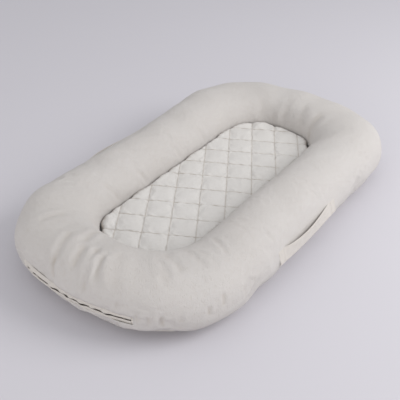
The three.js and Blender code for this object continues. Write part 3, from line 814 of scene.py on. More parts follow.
# Cover before the cloth run: section surface + normal * (full shoulders * sin^2(2 a) + swellings +
# slow lumps - folds), with all of it held back at the seam and at the nest's edge
def shapedCover():
    normals = gridNormals(coverBase)
    lift = coverForm["shoulder"] * np.sin(2 * coverAngle) ** 2 * (np.sin(coverAngle) > 0)
    for station, angle, height, reach, spread in coverSwellings:
        gap = np.abs(coverStation - station)
        gap = np.minimum(gap, stationCount - gap)
        lift += height / 1000 * np.exp(-(gap / reach) ** 2 - ((coverDegrees - angle) / spread) ** 2)
    run, rise = coverRun[:, None], coverRise[None, :]
    for turns, half, phase in coverForm["lumps"]:
        along = np.sin(2 * math.pi * turns * run / wholeRun + 3 * phase)
        across = np.sin(math.pi * rise / coverRise[-1] * half + phase)
        lift += coverForm["lump"] * math.sin(phase) * along * across
    folds = foldDepth(coverBase, [fold for fold in coverFolds if fold[5] >= coverForm["broadFold"]])
    held = smoothStep(0, coverForm["seamHold"], rise) * nestHold * strapFree()
    return coverBase + normals * ((lift - folds) * held)[..., None], folds


# Points that the seam, the nest's edge, the zip and the sewn strap ends hold.
def coverPins():
    held = np.zeros(coverAngle.shape, bool)
    held[:, [0, -1]] = True
    firstColumn, lastColumn, firstRow, lastRow = slotHole
    held[firstColumn:lastColumn + 1, firstRow:lastRow + 1] = True
    along, aside = np.abs(coverBase[..., 0] - strapForm["middle"]), np.abs(coverBase[..., 1])
    tabs = np.abs(along - strapForm["tabMiddle"]) < strapForm["tabHold"]
    tabs &= aside > strapForm["sideFrom"][1]
    low, high = strapForm["tabAngles"]
    return held | tabs & (coverDegrees > low) & (coverDegrees < high)


# Share of the spare cloth: least on the sides, more at the seam and round the foot end, none at the nest
def spareCloth():
    least, atSeam, seamReach, atFoot, footReach = coverForm["spare"]
    away = np.mod(coverStations, stationCount) - loungerForm["footStation"]
    foot = np.exp(-(away / footReach) ** 4)[:, None]
    return (least + atSeam * bell(coverRise[None, :], seamReach) + atFoot * foot) * nestHold


# Quads of the cover's skin without those in the zip's slot, on a grid finer by factor.
def coverFaces(columns, rows, hole, factor):
    faces = gridFaces(0, columns * factor, (rows - 1) * factor + 1, closedRows=True)
    firstColumn, lastColumn, firstRow, lastRow = (factor * mark for mark in hole)
    keep = np.ones(faces.shape[:2], bool)
    keep[firstColumn:lastColumn, firstRow:lastRow] = False
    return faces, keep


# Cover: the cloth run's skin, twice as fine outside as inside, one wall thick, open along the zip's slot
def ringCover():
    columns, rows = len(coverStations), len(coverAngles)
    shaped, folds = shapedCover()
    faces, keep = coverFaces(columns, rows, slotHole, 1)
    settled = shaped
    skin = newPiece("ring_skin", shaped, faces[keep].tolist(), None, None)
    settled = simulateCloth(skin, coverCloth, coverPins().ravel(), spareCloth().ravel())
    settled = settled.reshape(shaped.shape)
    bpy.data.objects.remove(skin)
    least, reach = coverForm["settledSeam"]
    kept = smoothStep(0, coverForm["settledNest"], coverRise[-1] - coverRise)
    kept = kept * (least + (1 - least) * smoothStep(0, reach, coverRise))
    settled = coverBase + (settled - coverBase) * (kept[None, :] * strapFree())[..., None]
    fine = refined(settled)
    fineColumns, fineRows = fine.shape[:2]
    fineRun = np.interp(np.arange(fineColumns) / 2, np.arange(columns + 1), np.append(coverRun, wholeRun))
    fineRise = np.interp(np.arange(fineRows) / 2, np.arange(rows), coverRise)
    narrow = [fold for fold in coverFolds if fold[5] < coverForm["broadFold"]]
    narrow = [fold[:5] + (max(fold[5], coverForm["leastFold"]),) for fold in narrow]
    fineFolds = foldDepth(refined(coverBase), narrow) * smoothStep(0, coverForm["fineHold"], fineRise)
    fine -= gridNormals(fine) * fineFolds[..., None]
    inner = fine[::2, ::2] - gridNormals(settled) * loungerForm["coverWall"]
    fineFaces, fineKeep = coverFaces(columns, rows, slotHole, 2)
    offset = fineColumns * fineRows

    def fineIndex(i, j):
        return (i % fineColumns) * fineRows + j

    def coarseIndex(i, j):
        return offset + (i % columns) * rows + j

    # Five-sided faces from a fine edge, with its middle point, to the coarse edge behind it
    def rim(i, j, stepI, stepJ):
        return np.stack([
            fineIndex(2 * (i + stepI), 2 * (j + stepJ)), fineIndex(2 * i + stepI, 2 * j + stepJ),
            fineIndex(2 * i, 2 * j), coarseIndex(i, j), coarseIndex(i + stepI, j + stepJ),
        ], -1).tolist()

    firstColumn, lastColumn, firstRow, lastRow = slotHole
    around, across = np.arange(columns), np.arange(firstColumn, lastColumn)
    upright = np.arange(firstRow, lastRow)
    rims = [face for edge in (
        (around, 0, 1, 0), (around + 1, rows - 1, -1, 0), (across + 1, firstRow, -1, 0),
        (across, lastRow, 1, 0), (firstColumn, upright, 0, 1), (lastColumn, upright + 1, 0, -1),
    ) for face in rim(*edge)]
    skins = fineFaces[fineKeep], (offset + faces[..., ::-1])[keep]
    points = np.concatenate([fine.reshape(-1, 3), inner.reshape(-1, 3)])
    used, renumber = usedPoints(len(points), np.concatenate([skin.ravel() for skin in skins]))
    allFaces = [renumber[face].tolist() for face in skins[0].tolist() + skins[1].tolist() + rims]
    cover = newPiece("ring_cover", points[used], allFaces, "ring", gauze)
    places = np.concatenate([
        np.stack(np.meshgrid(run, rise, indexing="ij"), -1).reshape(-1, 2)
        for run, rise in ((fineRun, fineRise), (coverRun, coverRise))
    ])[used]
    addClothMap(cover, places[:, 0], places[:, 1])
    # Painted shade: darker in the folds and in a band along the seam, kept as the crease value
    gain, full, power, share, seamShare, seamReach = coverForm["crease"]
    depth = np.clip((refined(folds[..., None])[..., 0] + gain * fineFolds) / full, 0, 1) ** power
    shade = share * depth + seamShare * bell(fineRise, seamReach)[None, :]
    crease = np.concatenate([shade.ravel(), np.zeros(columns * rows)])
    setAttribute(cover, "crease", np.clip(crease, 0, 1)[used])
    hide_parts("cover_top")
    return settled


coverSettled = ringCover()
print("ring cover made")


def addStudio():
    scene = bpy.context.scene
    scene.view_settings.view_transform = "Standard"
    world = bpy.data.worlds.new("studio")
    world.use_nodes = True
    fillInputs(world.node_tree, world.node_tree.nodes["Background"], {
        "Color": (*studio["worldColour"], 1), "Strength": studio["worldStrength"]})
    scene.world = world
    for name, place, width, power, colour in studio["lamps"]:
        lamp = bpy.data.lights.new(name, "AREA")
        setAll(lamp, {"shape": "DISK", "size": width, "energy": power, "color": colour})
        placeObject(name, lamp, place, Vector(place))
    corners = np.array([(-0.5, -0.5, 0), (0.5, -0.5, 0), (0.5, 0.5, 0), (-0.5, 0.5, 0)]) * studio["floorSize"]
    corners[:, 2] = -studio["floorDrop"]
    floor = newPiece("studio_floor", corners, [[0, 1, 2, 3]], None, None, smooth=False)
    material, tree, place = newMaterial("studio_floor")
    tone = noiseNode(tree, place, *studio["floorTone"])
    shades = [[value + step for value in studio["floorColour"]] for step in (-1, 1)]
    floor.data.materials.append(dressMaterial(material, tone, shades, studio["floorLook"]))


addStudio()
print("studio made")


quilt = {
    "cellShares": (
        0, 0.022, 0.05, 0.09, 0.15, 0.23, 0.32, 0.41, 0.5, 0.59, 0.68, 0.77, 0.85, 0.91, 0.95, 0.978),
    "cellsOut": 10,                     # whole cells laid out on either side of the middle
    "across": (53.0, -63.0),            # pitch in mm and direction in degrees of one family of lines
    "along": (55.5, 32.1),
    "offset": (0.0083, 0.0329),
    "gap": 0.0010,                      # between the border and the nest's outline
    "borderSteps": 400,
    "borderReach": 0.02,                # beyond the border, where points are still tested
    "borderSpare": 0.0004,              # how far outside the border a point may lie that is moved onto it
    "edgePinch": 0.0045,
    "edgeDrop": 0.0022,
    "edgeHeight": quiltLow.z + 0.0112,
    "rollWidth": 0.009,
    "lineHeight": quiltHigh.z - 0.0076,
    "crossDrop": 0.0012,
    "crossReach": 0.12,                 # of a crossing, in shares of a cell
    "puffHeight": 0.0062,
    "puffPower": 3.0,
    "underside": quiltLow.z,
    "grain": 0.0002,                    # random height that lets the cloth run wrinkle
    "spareReach": 0.012,
    # Rings of the side wall: share of the way down, and how far in
    "wallRings": ((0.30, -0.0003), (0.72, 0.0004), (0.95, 0.0014)),
    "underInset": 0.0042,
    "underReach": 0.02,
    "creaseReach": 0.016,
}
quiltCloth = clothRun(
    quality=5, mass=0.004, stretch=10.0, shear=3.0, bending=0.05, spare=0.07, pressure=1.0, cap=0.0030)
quiltSize = insetSize(nestSize, quilt["gap"])


def latticeVectors():
    vectors = []
    for pitch, degrees in (quilt["across"], quilt["along"]):
        turn = math.radians(degrees)
        vectors.append(np.array([math.cos(turn), math.sin(turn)]) * pitch / 1000)
    return np.array(vectors)


# How far shares of the lattice lie from the nearest line, from 0 on a line to 0.5 between two.
def lineGaps(shares):
    return np.abs(shares - np.round(shares))


padStations = evenStations(quilt["borderSteps"], sizes=(quiltSize,))
padBorder = outlinePoints(quiltSize, 0, padStations)
borderRun = np.roll(padBorder, -1, 0) - padBorder
borderOut = unitWays(np.stack([borderRun[:, 1], -borderRun[:, 0]], -1))


# Distance from each point to the convex border, from its nearest edge line, and that edge's outward way.
def borderGaps(points):
    gaps = np.full(len(points), np.inf)
    ways = np.zeros((len(points), 2))
    for corner, way in zip(padBorder, borderOut):
        gap = (corner - points) @ way
        nearer = gap < gaps
        gaps[nearer] = gap[nearer]
        ways[nearer] = way
    return gaps, ways


# Grid along the two families of lines, closer near the lines, cut at the border, with its outer points
# moved onto the border; also the way round the border from point to point
def quiltGrid():
    table = np.array(quilt["cellShares"])
    out = quilt["cellsOut"] * len(table)
    cells = np.arange(-out, out + 1)
    places = cells // len(table) + table[cells % len(table)]
    shares = np.stack(np.meshgrid(places, places, indexing="ij"), -1).reshape(-1, 2)
    points = np.array(quilt["offset"]) + shares @ latticeVectors()
    halves = np.array([quiltSize["length"] / 2, quiltSize["width"] / 2])
    near = (np.abs(points) < halves + quilt["borderReach"]).all(1)
    gaps = np.full(len(points), -1.0)
    gaps[near] = borderGaps(points[near])[0]
    faces = gridFaces(0, len(cells), len(cells), reverse=True).reshape(-1, 4)
    faces = faces[(gaps[faces] > -quilt["borderSpare"]).all(1)]
    edges = np.concatenate([faces[:, [k, (k + 1) % 4]] for k in range(4)]).astype(np.int64)
    marks, twins = edges @ (len(points), 1), edges @ (1, len(points))
    border = edges[~np.isin(marks, twins)]
    follow = dict(border.tolist())
    loop = [int(border[0, 0])]
    while follow[loop[-1]] != loop[0]:
        loop.append(follow[loop[-1]])
    loop = np.array(loop)
    gap, way = borderGaps(points[loop])
    points[loop] += way * gap[:, None]
    used, renumber = usedPoints(len(points), faces.ravel())
    return points[used], renumber[faces], renumber[loop], shares[used]


# Height of the quilted sheet: border + roll * (line + puff * P(a) P(b) - border), where a and b are
# the shares of the way between two lines, P(a) = 1 - (1 - 2 a)^p, and roll is a quarter ellipse
def quiltedPad():
    points, faces, loop, shares = quiltGrid()
    gaps, ways = borderGaps(points)
    gaps = np.maximum(gaps, 0)
    away = lineGaps(shares)
    puff = np.prod(1 - (1 - 2 * away) ** quilt["puffPower"], axis=1)
    crossing = bell(np.linalg.norm(away, axis=1), quilt["crossReach"])
    inner = quilt["lineHeight"] - quilt["crossDrop"] * crossing + quilt["puffHeight"] * puff
    rest = np.clip(1 - gaps / quilt["rollWidth"], 0, 1)
    height = quilt["edgeHeight"] + (inner - quilt["edgeHeight"]) * np.sqrt(1 - rest ** 2)
    onLattice = (points - np.array(quilt["offset"])) @ np.linalg.inv(latticeVectors())
    scallop = np.cos(math.pi * lineGaps(onLattice).min(1)) ** 4
    height -= quilt["edgeDrop"] * scallop * rest ** 2
    flat = points - ways * (quilt["edgePinch"] * scallop * rest ** 2)[:, None]
    sheet = np.concatenate([flat, height[:, None]], 1)
    held = away.min(1) < 1e-9
    held[loop] = True
    draw = np.random.default_rng(5)
    sheet[:, 2] += quilt["grain"] * draw.standard_normal(len(sheet)) * ~held
    skin = newPiece("quilt_skin", sheet, faces.tolist(), None, None)
    sheet = simulateCloth(skin, quiltCloth, held, np.clip(gaps / quilt["spareReach"], 0, 1))
    bpy.data.objects.remove(skin)
    # side wall from the border down, and a flat underside on the same grid
    count, size, wallRings = len(sheet), len(loop), quilt["wallRings"]
    rings = []
    for drop, inset in wallRings:
        ring = sheet[loop].copy()
        ring[:, :2] -= ways[loop] * inset
        ring[:, 2] += (quilt["underside"] - ring[:, 2]) * drop
        rings.append(ring)
    under = np.concatenate([flat, np.full((count, 1), quilt["underside"])], 1)
    under[:, :2] -= ways * (quilt["underInset"] * np.clip(1 - gaps / quilt["underReach"], 0, 1))[:, None]
    wallPoints = len(wallRings) * size
    underFirst = count + wallPoints
    wallLevels = count + np.arange(wallPoints).reshape(-1, size)
    levels = np.concatenate([loop[None], wallLevels, underFirst + loop[None]])
    walls = [
        np.stack([np.roll(upper, -1), upper, lower, np.roll(lower, -1)], -1)
        for upper, lower in zip(levels[:-1], levels[1:])
    ]
    allFaces = np.concatenate([faces, *walls, underFirst + faces[:, ::-1]])
    allPoints = np.concatenate([sheet, *rings, under])
    pad = newPiece("quilted_pad", allPoints, allFaces.tolist(), "pad", smoothCotton)
    # Painted shade along the quilting lines, at the border and on the side wall, kept as the crease value;
    # none on the underside
    shade = bell(away.min(1), quilt["creaseReach"])
    shade[loop] = 1
    setAttribute(pad, "crease", np.concatenate([shade, np.ones(wallPoints), np.zeros(count)]))
    smooth = pad.modifiers.new("smooth", "SUBSURF")
    smooth.levels = smooth.render_levels = 1
    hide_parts("pad_quilt")
    return sheet, shares, gaps


padSheet, padShares, padGaps = quiltedPad()
print("quilted pad made")


# Each span: shares of the pitch where a thread starts and ends; each thread: radius and lift
stitches = {
    "rings": 5,
    "sides": 6,
    "thin": 0.55,             # share of the radius at a thread's ends
    "sunk": 0.0001,           # of a thread's ends in the cloth
    "quilt": {
        "pitch": 0.0036, "span": (0.12, 0.84), "least": 0.003, "lift": 0.0003, "thread": (0.00022, 0.0003)},
    "lip": {
        "pitch": 0.0034, "length": 0.0024, "ends": 0.004, "rows": (0.34, 0.72), "thread": (0.00024, 0.0003)},
    "strap": {"pitch": 0.0038, "length": 0.0027, "ends": (0.002, 0.004), "thread": (0.00025, 0.0003)},
    "box": {"pitch": 0.0036, "span": (0.12, 0.82), "ends": 0.002, "edge": 0.0028},
    "tack": {
        "count": 7, "half": 0.0096, "slant": 0.0001, "ends": 0.0003, "level": -0.0006,
        "thread": (0.0005, 0.0016)},
}


# Row of short threads: each is a bent tube from start to end, lifted by lift * sin(pi t) along its
# way out, with radius * (thin + (1 - thin) * sin(pi t)) and closed ends.
def addStitches(name, starts, ends, ways, body, radius, lift):
    rings, sides, thin = stitches["rings"], stitches["sides"], stitches["thin"]
    shares = np.linspace(0, 1, rings)
    turns = np.arange(sides) * math.pi / 3
    run = ends - starts
    along = unitWays(run)
    side = unitWays(np.cross(along, ways))
    out = np.cross(side, along)
    bow = np.sin(math.pi * shares)
    lifted = ways[:, None] * (lift * bow)[None, :, None]
    centres = starts[:, None] + run[:, None] * shares[None, :, None] + lifted
    thick = radius * (thin + (1 - thin) * bow)
    circle = side[:, None] * np.cos(turns)[None, :, None] + out[:, None] * np.sin(turns)[None, :, None]
    points = centres[:, :, None] + circle[:, None] * thick[None, :, None, None]
    size = rings * sides
    firsts = (np.arange(len(starts)) * size)[:, None]
    tube = gridFaces(0, rings, sides, closedColumns=True).reshape(-1, 4)
    faces = (firsts[:, None] + tube[None]).reshape(-1, 4).tolist()
    faces += (firsts + np.arange(sides)).tolist()
    faces += (firsts + np.arange(size - 1, size - sides - 1, -1)).tolist()
    return newPiece(name, points, faces, body, thread)


# Stitches along every line of the quilting, at even distances on the settled sheet's points of that line
def quiltStitches():
    form = stitches["quilt"]
    starts, ends = [], []
    for family, (width, _) in enumerate((quilt["along"], quilt["across"])):
        across, along = padShares[:, family], padShares[:, 1 - family]
        step = form["pitch"] * 1000 / width
        for line in np.unique(np.round(across)):
            rows = np.flatnonzero((np.abs(across - line) < 1e-9) & (padGaps > form["least"]))
            if len(rows) < 3:
                continue
            rows = rows[np.argsort(along[rows])]
            marks = np.arange(along[rows[0]], along[rows[-1]] - step, step)
            for found, share in zip((starts, ends), form["span"]):
                place = marks + share * step
                parts = [np.interp(place, along[rows], padSheet[rows, axis]) for axis in range(3)]
                found.append(np.stack(parts, -1))
    starts, ends = np.concatenate(starts), np.concatenate(ends)
    up = np.array([0.0, 0.0, 1.0])
    ways = np.tile(up, (len(starts), 1))
    lift = up * form["lift"]
    addStitches("pad_stitching", starts + lift, ends + lift, ways, "pad", *form["thread"])


quiltStitches()
print("quilting stitched")


# Turns all faces round if the enclosed volume, the sum of a . (b x c) / 6, comes out negative.
def faceOutwards(piece):
    mesh = piece.data
    mesh.calc_loop_triangles()
    corners = np.zeros(len(mesh.loop_triangles) * 3, np.int32)
    mesh.loop_triangles.foreach_get("vertices", corners)
    points = coordinates(mesh)[corners.reshape(-1, 3)]
    volume = np.einsum("ij,ij->i", points[:, 0], np.cross(points[:, 1], points[:, 2])).sum()
    if volume < 0:
        mesh.flip_normals()
    return piece


# Skin over loops of points, each joined to the next; two flat ends, or closed into a ring.
def loft(name, loops, body, material, closed=False):
    count, size = loops.shape[:2]
    faces = gridFaces(0, count, size, closedRows=closed, closedColumns=True).reshape(-1, 4).tolist()
    if not closed:
        faces += [list(range(size)), list(range(count * size - 1, (count - 1) * size - 1, -1))]
    return faceOutwards(newPiece(name, loops, faces, body, material))


# Places along the foot end's arc: angle = length / radius, out from the chain, up from its middle.
def zipPoints(heights, outs, lengths):
    angle = lengths / zipPlace["radius"]
    radius = zipPlace["radius"] + outs
    x = zipPlace["centreX"] - radius * np.cos(angle)
    return stackPoints(x, -radius * np.sin(angle), loungerForm["widestHeight"] + heights)


# Level ways outwards from the middle of the foot end's arc.
def zipWays(points):
    return unitWays((points - np.array([zipPlace["centreX"], 0, 0])) * (1, 1, 0))


lipForm = {
    "slit": {1: 0.0019, -1: 0.0019},    # half height of the slit above and below the chain
    "far": 0.0104,
    "proud": {1: 0.0030, -1: 0.0020},
    "thickness": 0.0034,
    "thinning": 0.5,                    # share of the thickness lost at the far edge
    "farDrop": {1: 0.0024, -1: 0.0018},
    "closing": 0.010,                   # length over which the slit closes at the end where the slider rests
    "steps": 320,
    "sides": 24,
    "fade": 0.02,
    # Waves up and out: size, least share, lowest value, and count, shortest and longest of the waves
    "waveUp": (0.00045, 0.4, 0, (6, 0.016, 0.08)),
    "waveOut": (0.0009, 0.5, -0.0003, (7, 0.014, 0.06)),
    "waveFall": 0.7,
}


# Place of a lip's surface at a share of its height and a turn round its section: height from slit to far
# edge, and out from the chain by the fold's middle + half thickness * sine of the turn, both with waves
def lipPlace(side, lengths, share, sine, waveUp, waveOut):
    slit = lipForm["slit"][side] * smoothStep(0, lipForm["closing"], zipPlace["lipHalf"] + lengths)
    height = slit + (lipForm["far"] - slit) * share + waveUp * (1 - share)
    thickness = lipForm["thickness"]
    half = thickness / 2 * (1 - lipForm["thinning"] * share)
    middle = zipPlace["depth"] + lipForm["proud"][side] - thickness / 2 - lipForm["farDrop"][side] * share
    wave = waveOut * (1 - share) ** lipForm["waveFall"]
    return zipPoints(side * height, middle + half * sine + wave, lengths)


# Folded lip: the share of its height is (1 - cos t) / 2, and its waves fade at the ends of the zip
def zipLip(name, side, seed):
    lengths = np.linspace(-zipPlace["lipHalf"], zipPlace["lipHalf"], lipForm["steps"])
    turns = circleTurns(lipForm["sides"])
    fade = smoothStep(0, lipForm["fade"], zipPlace["lipHalf"] - np.abs(lengths))
    moves = []
    for number, (size, least, lowest, sizes) in enumerate((lipForm["waveUp"], lipForm["waveOut"])):
        moves.append(np.maximum(size * (least + waves(lengths, seed + number, *sizes)) * fade, lowest))
    waveUp, waveOut = moves
    share = (1 - np.cos(turns)) / 2
    places = lipPlace(side, lengths[:, None], share, np.sin(turns), waveUp[:, None], waveOut[:, None])
    lip = loft(name, places, "ring", strapGauze)
    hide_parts(name.replace("placket", "zip"))
    form = stitches["lip"]
    reach = zipPlace["lipHalf"] - form["ends"]
    marks = np.arange(-reach, reach, form["pitch"])
    for row, share in enumerate(form["rows"]):
        sine = math.sqrt(1 - (1 - 2 * share) ** 2)
        ends = []
        for place in (marks, marks + form["length"]):
            up, out = np.interp(place, lengths, waveUp), np.interp(place, lengths, waveOut)
            ends.append(lipPlace(side, place, share, sine, up, out - stitches["sunk"]))
        addStitches(f"{name}_stitching_{row + 1}", *ends, zipWays(ends[0]), "ring", *form["thread"])


zipLip("placket_lip_upper", 1, 11)
zipLip("placket_lip_lower", -1, 29)


tapeForm = {
    "near": 0.0034,           # edge beside the chain's middle
    "far": 0.0115,
    "halfThickness": 0.0004,
    "fullness": (0.35, 0.5),  # powers of the section's width and thickness
    "steps": 120,
    "sides": 12,
}


# Flat tape strip behind the lips, with a rounded selvedge.
def zipTape(name, side):
    lengths = np.linspace(-zipPlace["lipHalf"], zipPlace["lipHalf"], tapeForm["steps"])
    turns = circleTurns(tapeForm["sides"])
    near, far = tapeForm["near"], tapeForm["far"]
    wide, thick = tapeForm["fullness"]
    height = (near + far) / 2 + (far - near) / 2 * fuller(np.cos(turns), wide)
    out = tapeForm["halfThickness"] * fuller(np.sin(turns), thick)
    places = zipPoints(side * height, out, lengths[:, None])
    tape = loft(name.replace("zip", "fastener"), places, "ring", zipTapeCloth)
    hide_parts(name)


zipTape("zip_tape_upper", 1)
zipTape("zip_tape_lower", -1)


# Bar tack at an end of the placket: a dense row of upright threads.
def endTack(name, side):
    form = stitches["tack"]
    near, fast = zipPlace["lipHalf"] + 2 * form["ends"], zipPlace["placketHalf"] - 2 * form["ends"]
    marks = side * np.linspace(near, fast, form["count"])
    level = zipPlace["depth"] + form["level"]
    starts = zipPoints(-form["half"], level, marks)
    ends = zipPoints(form["half"], level, marks + side * form["slant"])
    tack = addStitches(
        name.replace("zip", "placket"), starts, ends, zipWays(starts), "ring", *form["thread"])
    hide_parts(name)


endTack("zip_tack_left", -1)
endTack("zip_tack_right", 1)

for material, nodes in (
    (zipPlastic, ("zip_teeth_upper", "zip_teeth_lower", "zip_stop_upper", "zip_stop_lower", "zip_stop_end")),
    (zipMetal, ("zip_slider", "zip_pull")),
):
    for node in nodes:
        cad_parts[node].data.materials.clear()
        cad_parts[node].data.materials.append(material)
print("zip made")


# Share of the bow at a height: from the lower edge's share to 1 at the upper edge
def bowShare(height):
    up = (height - strapForm["lowEdge"]) / (strapForm["highEdge"] - strapForm["lowEdge"])
    return strapForm["lowerShare"] + (1 - strapForm["lowerShare"]) * up


# Way out from the lounger's middle line to a strap's inner face, which leans as the ring's side does and
# stands off it by its bow.
def strapFace(height, bows):
    lean = (height - loungerForm["widestHeight"]) * strapForm["lean"]
    return ringSize["width"] / 2 + strapForm["seat"] - lean + bows * bowShare(height)


# Strap section at each length: a flat band with round edges
def strapLoops(side, lengths, bows, sag, sides=28):
    turns = circleTurns(sides)
    wide, thick = strapForm["fullness"]
    middle = (strapForm["lowEdge"] + strapForm["highEdge"]) / 2
    half = (strapForm["highEdge"] - strapForm["lowEdge"]) / 2
    height = middle + half * fuller(np.cos(turns), wide)[None] + sag[:, None]
    thickness = strapForm["thickness"] * (0.5 + 0.5 * fuller(np.sin(turns), thick)[None])
    return stackPoints(lengths[:, None], side * (strapFace(height, bows[:, None]) + thickness), height)


# Bow of a handle: sin of pi * share^e, with e set so that the peak lies at the given share, and eased
# at its two ends.
def strapBow(side, share):
    power = math.log(0.5) / math.log(strapForm["peak"])
    ease = smoothStep(0, strapForm["bowEase"], np.minimum(share, 1 - share))
    return strapForm["bow"][side] * np.sin(math.pi * share ** power) * ease


# Stitches on a strap's outer face from the first to the second of two sets of flat places, (x, height)
def sewStrap(name, side, body, flats, lengths, bows):
    ends = []
    for x, height in (flat.T for flat in flats):
        face = strapFace(height, np.interp(x, lengths, bows))
        ends.append(stackPoints(x, side * (face + strapForm["thickness"] - stitches["sunk"]), height))
    way = np.array([0, side, strapForm["lean"]]) / math.hypot(1, strapForm["lean"])
    addStitches(name, *ends, np.tile(way, (len(ends[0]), 1)), body, *stitches["strap"]["thread"])


# Rows of stitches along a strap.
def rowPlaces(lengths):
    form = stitches["strap"]
    marks = np.arange(lengths[0] + form["ends"][0], lengths[-1] - form["ends"][1], form["pitch"])
    width = strapForm["highEdge"] - strapForm["lowEdge"]
    heights = np.repeat([strapForm["lowEdge"] + width * row for row in strapForm["rows"]], len(marks))
    marks = np.tile(marks, len(strapForm["rows"]))
    return [np.stack([place, heights], -1) for place in (marks, marks + form["length"])]


# Box of stitches with a cross in it, that sews a strap's end to the ring.
def boxPlaces(lengths):
    form = stitches["box"]
    fromX, toX = lengths[0] + form["ends"], lengths[-1] - form["ends"]
    low, high = strapForm["lowEdge"] + form["edge"], strapForm["highEdge"] - form["edge"]
    a, b, c, d = (fromX, low), (toX, low), (toX, high), (fromX, high)
    corners = np.array([a, b, c, d, a, c, b, d])
    starts, ends = [], []
    for here, there in zip(corners[:-1], corners[1:]):
        steps = max(2, round(float(np.linalg.norm(there - here)) / form["pitch"]))
        shares = np.arange(steps)[:, None] / steps
        for found, share in zip((starts, ends), form["span"]):
            found.append(here + (there - here) * (shares + share / steps))
    return np.concatenate(starts), np.concatenate(ends)


def handle(sideName, side):
    middle, half = strapForm["middle"], strapForm["half"]
    lengths = middle + np.linspace(-half, half, strapForm["steps"])
    share = np.linspace(0, 1, strapForm["steps"])
    bows = strapBow(side, share)
    sag = -strapForm["sag"] * np.sin(math.pi * share) ** 2
    body = f"handle_{sideName}"
    strap = loft(f"strap_{sideName}", strapLoops(side, lengths, bows, sag), body, strapGauze)
    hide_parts(f"handle_{sideName}")
    sewStrap(f"strap_{sideName}_stitching", side, body, rowPlaces(lengths), lengths, bows)
    still = np.zeros(strapForm["tabSteps"])
    for end, way in (("foot", -1), ("head", 1)):
        near = middle + way * (half + strapForm["tabGap"])
        far = near + way * strapForm["tabLength"]
        lengths = np.linspace(min(near, far), max(near, far), strapForm["tabSteps"])
        name = f"strap_end_{sideName}_{end}"
        tab = loft(name, strapLoops(side, lengths, still, still), "ring", strapGauze)
        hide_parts(f"handle_tab_{sideName}_{end}")
        sewStrap(f"{name}_stitching", side, "ring", boxPlaces(lengths), lengths, still)


handle("left", 1)
handle("right", -1)
print("handles made")


seamForm = {
    "steps": 520,
    "sides": 12,
    "inset": -0.0008,
    "edgeInset": 0.0004,
    "wander": 0.0005,
    "wanderTurns": (31, 53, 87, 121),   # waves round the ring
    "radius": 0.0022,
    "swell": 0.12,
    "swellTurns": 260,
}


# Sewn seam between the upper and the lower panel: a thin roll that wanders a little up and down.
def seamCord():
    stations = evenStations(seamForm["steps"])
    centre = ringSurface(stations, math.radians(loungerForm["seamAngle"]), seamForm["inset"])
    edge = ringSurface(stations, 0.0, seamForm["edgeInset"])
    out = unitWays(edge[:, :2] - centre[:, :2])
    run = runLengths(centre)
    whole = run[-1] + run[1]
    rounds = [np.sin(2 * math.pi * turns * run / whole + turns) for turns in seamForm["wanderTurns"]]
    wander = seamForm["wander"] * sum(rounds) / 2
    sides = circleTurns(seamForm["sides"])
    swell = np.sin(2 * math.pi * seamForm["swellTurns"] * run / whole)
    thick = (seamForm["radius"] * (1 + seamForm["swell"] * swell))[:, None]
    level = centre[:, None, :2] + out[:, None] * (thick * np.cos(sides))[..., None]
    height = (centre[:, 2] + wander)[:, None] + thick * np.sin(sides)
    loops = np.concatenate([level, height[..., None]], -1)
    cord = loft("seam_roll", loops, "ring", strapGauze, closed=True)
    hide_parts("seam_bead")


seamCord()


panelForm = {
    "shares": (0.12, 0.3, 0.5, 0.7, 0.85, 0.95),    # of the outline, from the middle to the rim
    "rimSteps": 9,
    "edgeRow": 8,             # row of the rim whose outline gives a sheet's area
    # Inset, rim radius and columns of each panel
    "pad_back": (0.006, 0.0012, 200),
    "nest_padding": (0.001, 0.008, 200),
    "nest_floor": (-loungerForm["floorReach"], 0.0006, 240),
}


# Panel from its top middle over its rim to its bottom middle, with a pole at each middle.
def closedPanel(name, loops, low, high, body, material):
    count, size = loops.shape[:2]
    faces = gridFaces(0, count, size, closedColumns=True).reshape(-1, 4).tolist()
    points = np.concatenate([loops.reshape(-1, 3), [[0, 0, high], [0, 0, low]]])
    ring = np.arange(size)
    last = (count - 1) * size + ring
    faces += np.stack([np.roll(ring, -1), ring, np.full(size, count * size)], -1).tolist()
    faces += np.stack([last, np.roll(last, -1), np.full(size, count * size + 1)], -1).tolist()
    return faceOutwards(newPiece(name, points, faces, body, material))


# Slab with a round rim, as high as its solid: its loops are each a share of the outline, inset, at a height
def slab(name, node, size, body, material):
    inset, rim, columns = panelForm[name]
    low, high = (corner.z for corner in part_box(node))
    middle, half = (low + high) / 2, (high - low) / 2
    turns = [math.radians(turn) for turn in np.linspace(90, -90, panelForm["rimSteps"])]
    top = [(share, inset + rim, high) for share in panelForm["shares"]]
    edge = [(1.0, inset + rim * (1 - math.cos(turn)), middle + half * math.sin(turn)) for turn in turns]
    bottom = [(share, inset + rim, low) for share in reversed(panelForm["shares"])]
    stations = evenStations(columns, sizes=(size,))
    loops = np.array([
        stackPoints(*(share * outlinePoints(size, gap, stations)).T, height)
        for share, gap, height in top + edge + bottom
    ])
    return closedPanel(name, loops, low, high, body, material), loops


def innerPieces():
    padSize = insetSize(nestSize, loungerForm["padGap"])
    backing, _ = slab("pad_back", "pad_backing", padSize, "pad", smoothCotton)
    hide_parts("pad_backing")
    core, _ = slab("nest_padding", "core", nestSize, "ring", corePadding)
    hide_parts("core")
    floorPanel, loops = slab("nest_floor", "cover_floor", nestSize, "ring", smoothCotton)
    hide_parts("cover_floor")


innerPieces()


undersideForm = {
    "steps": 300,
    # Each level: section angle in degrees, share of the section's height there
    "levels": ((-53.2, 1.0), (-55, 0.82), (-57, 0.58), (-59, 0.33), (-61, 0.13), (-63.5, 0.02), (-66, 0.0)),
    "shares": (0.97, 0.9, 0.8, 0.65, 0.5, 0.35, 0.2, 0.08),    # of the last level's outline
    "rise": 0.008,            # height at which the wall is measured level and not upwards
}


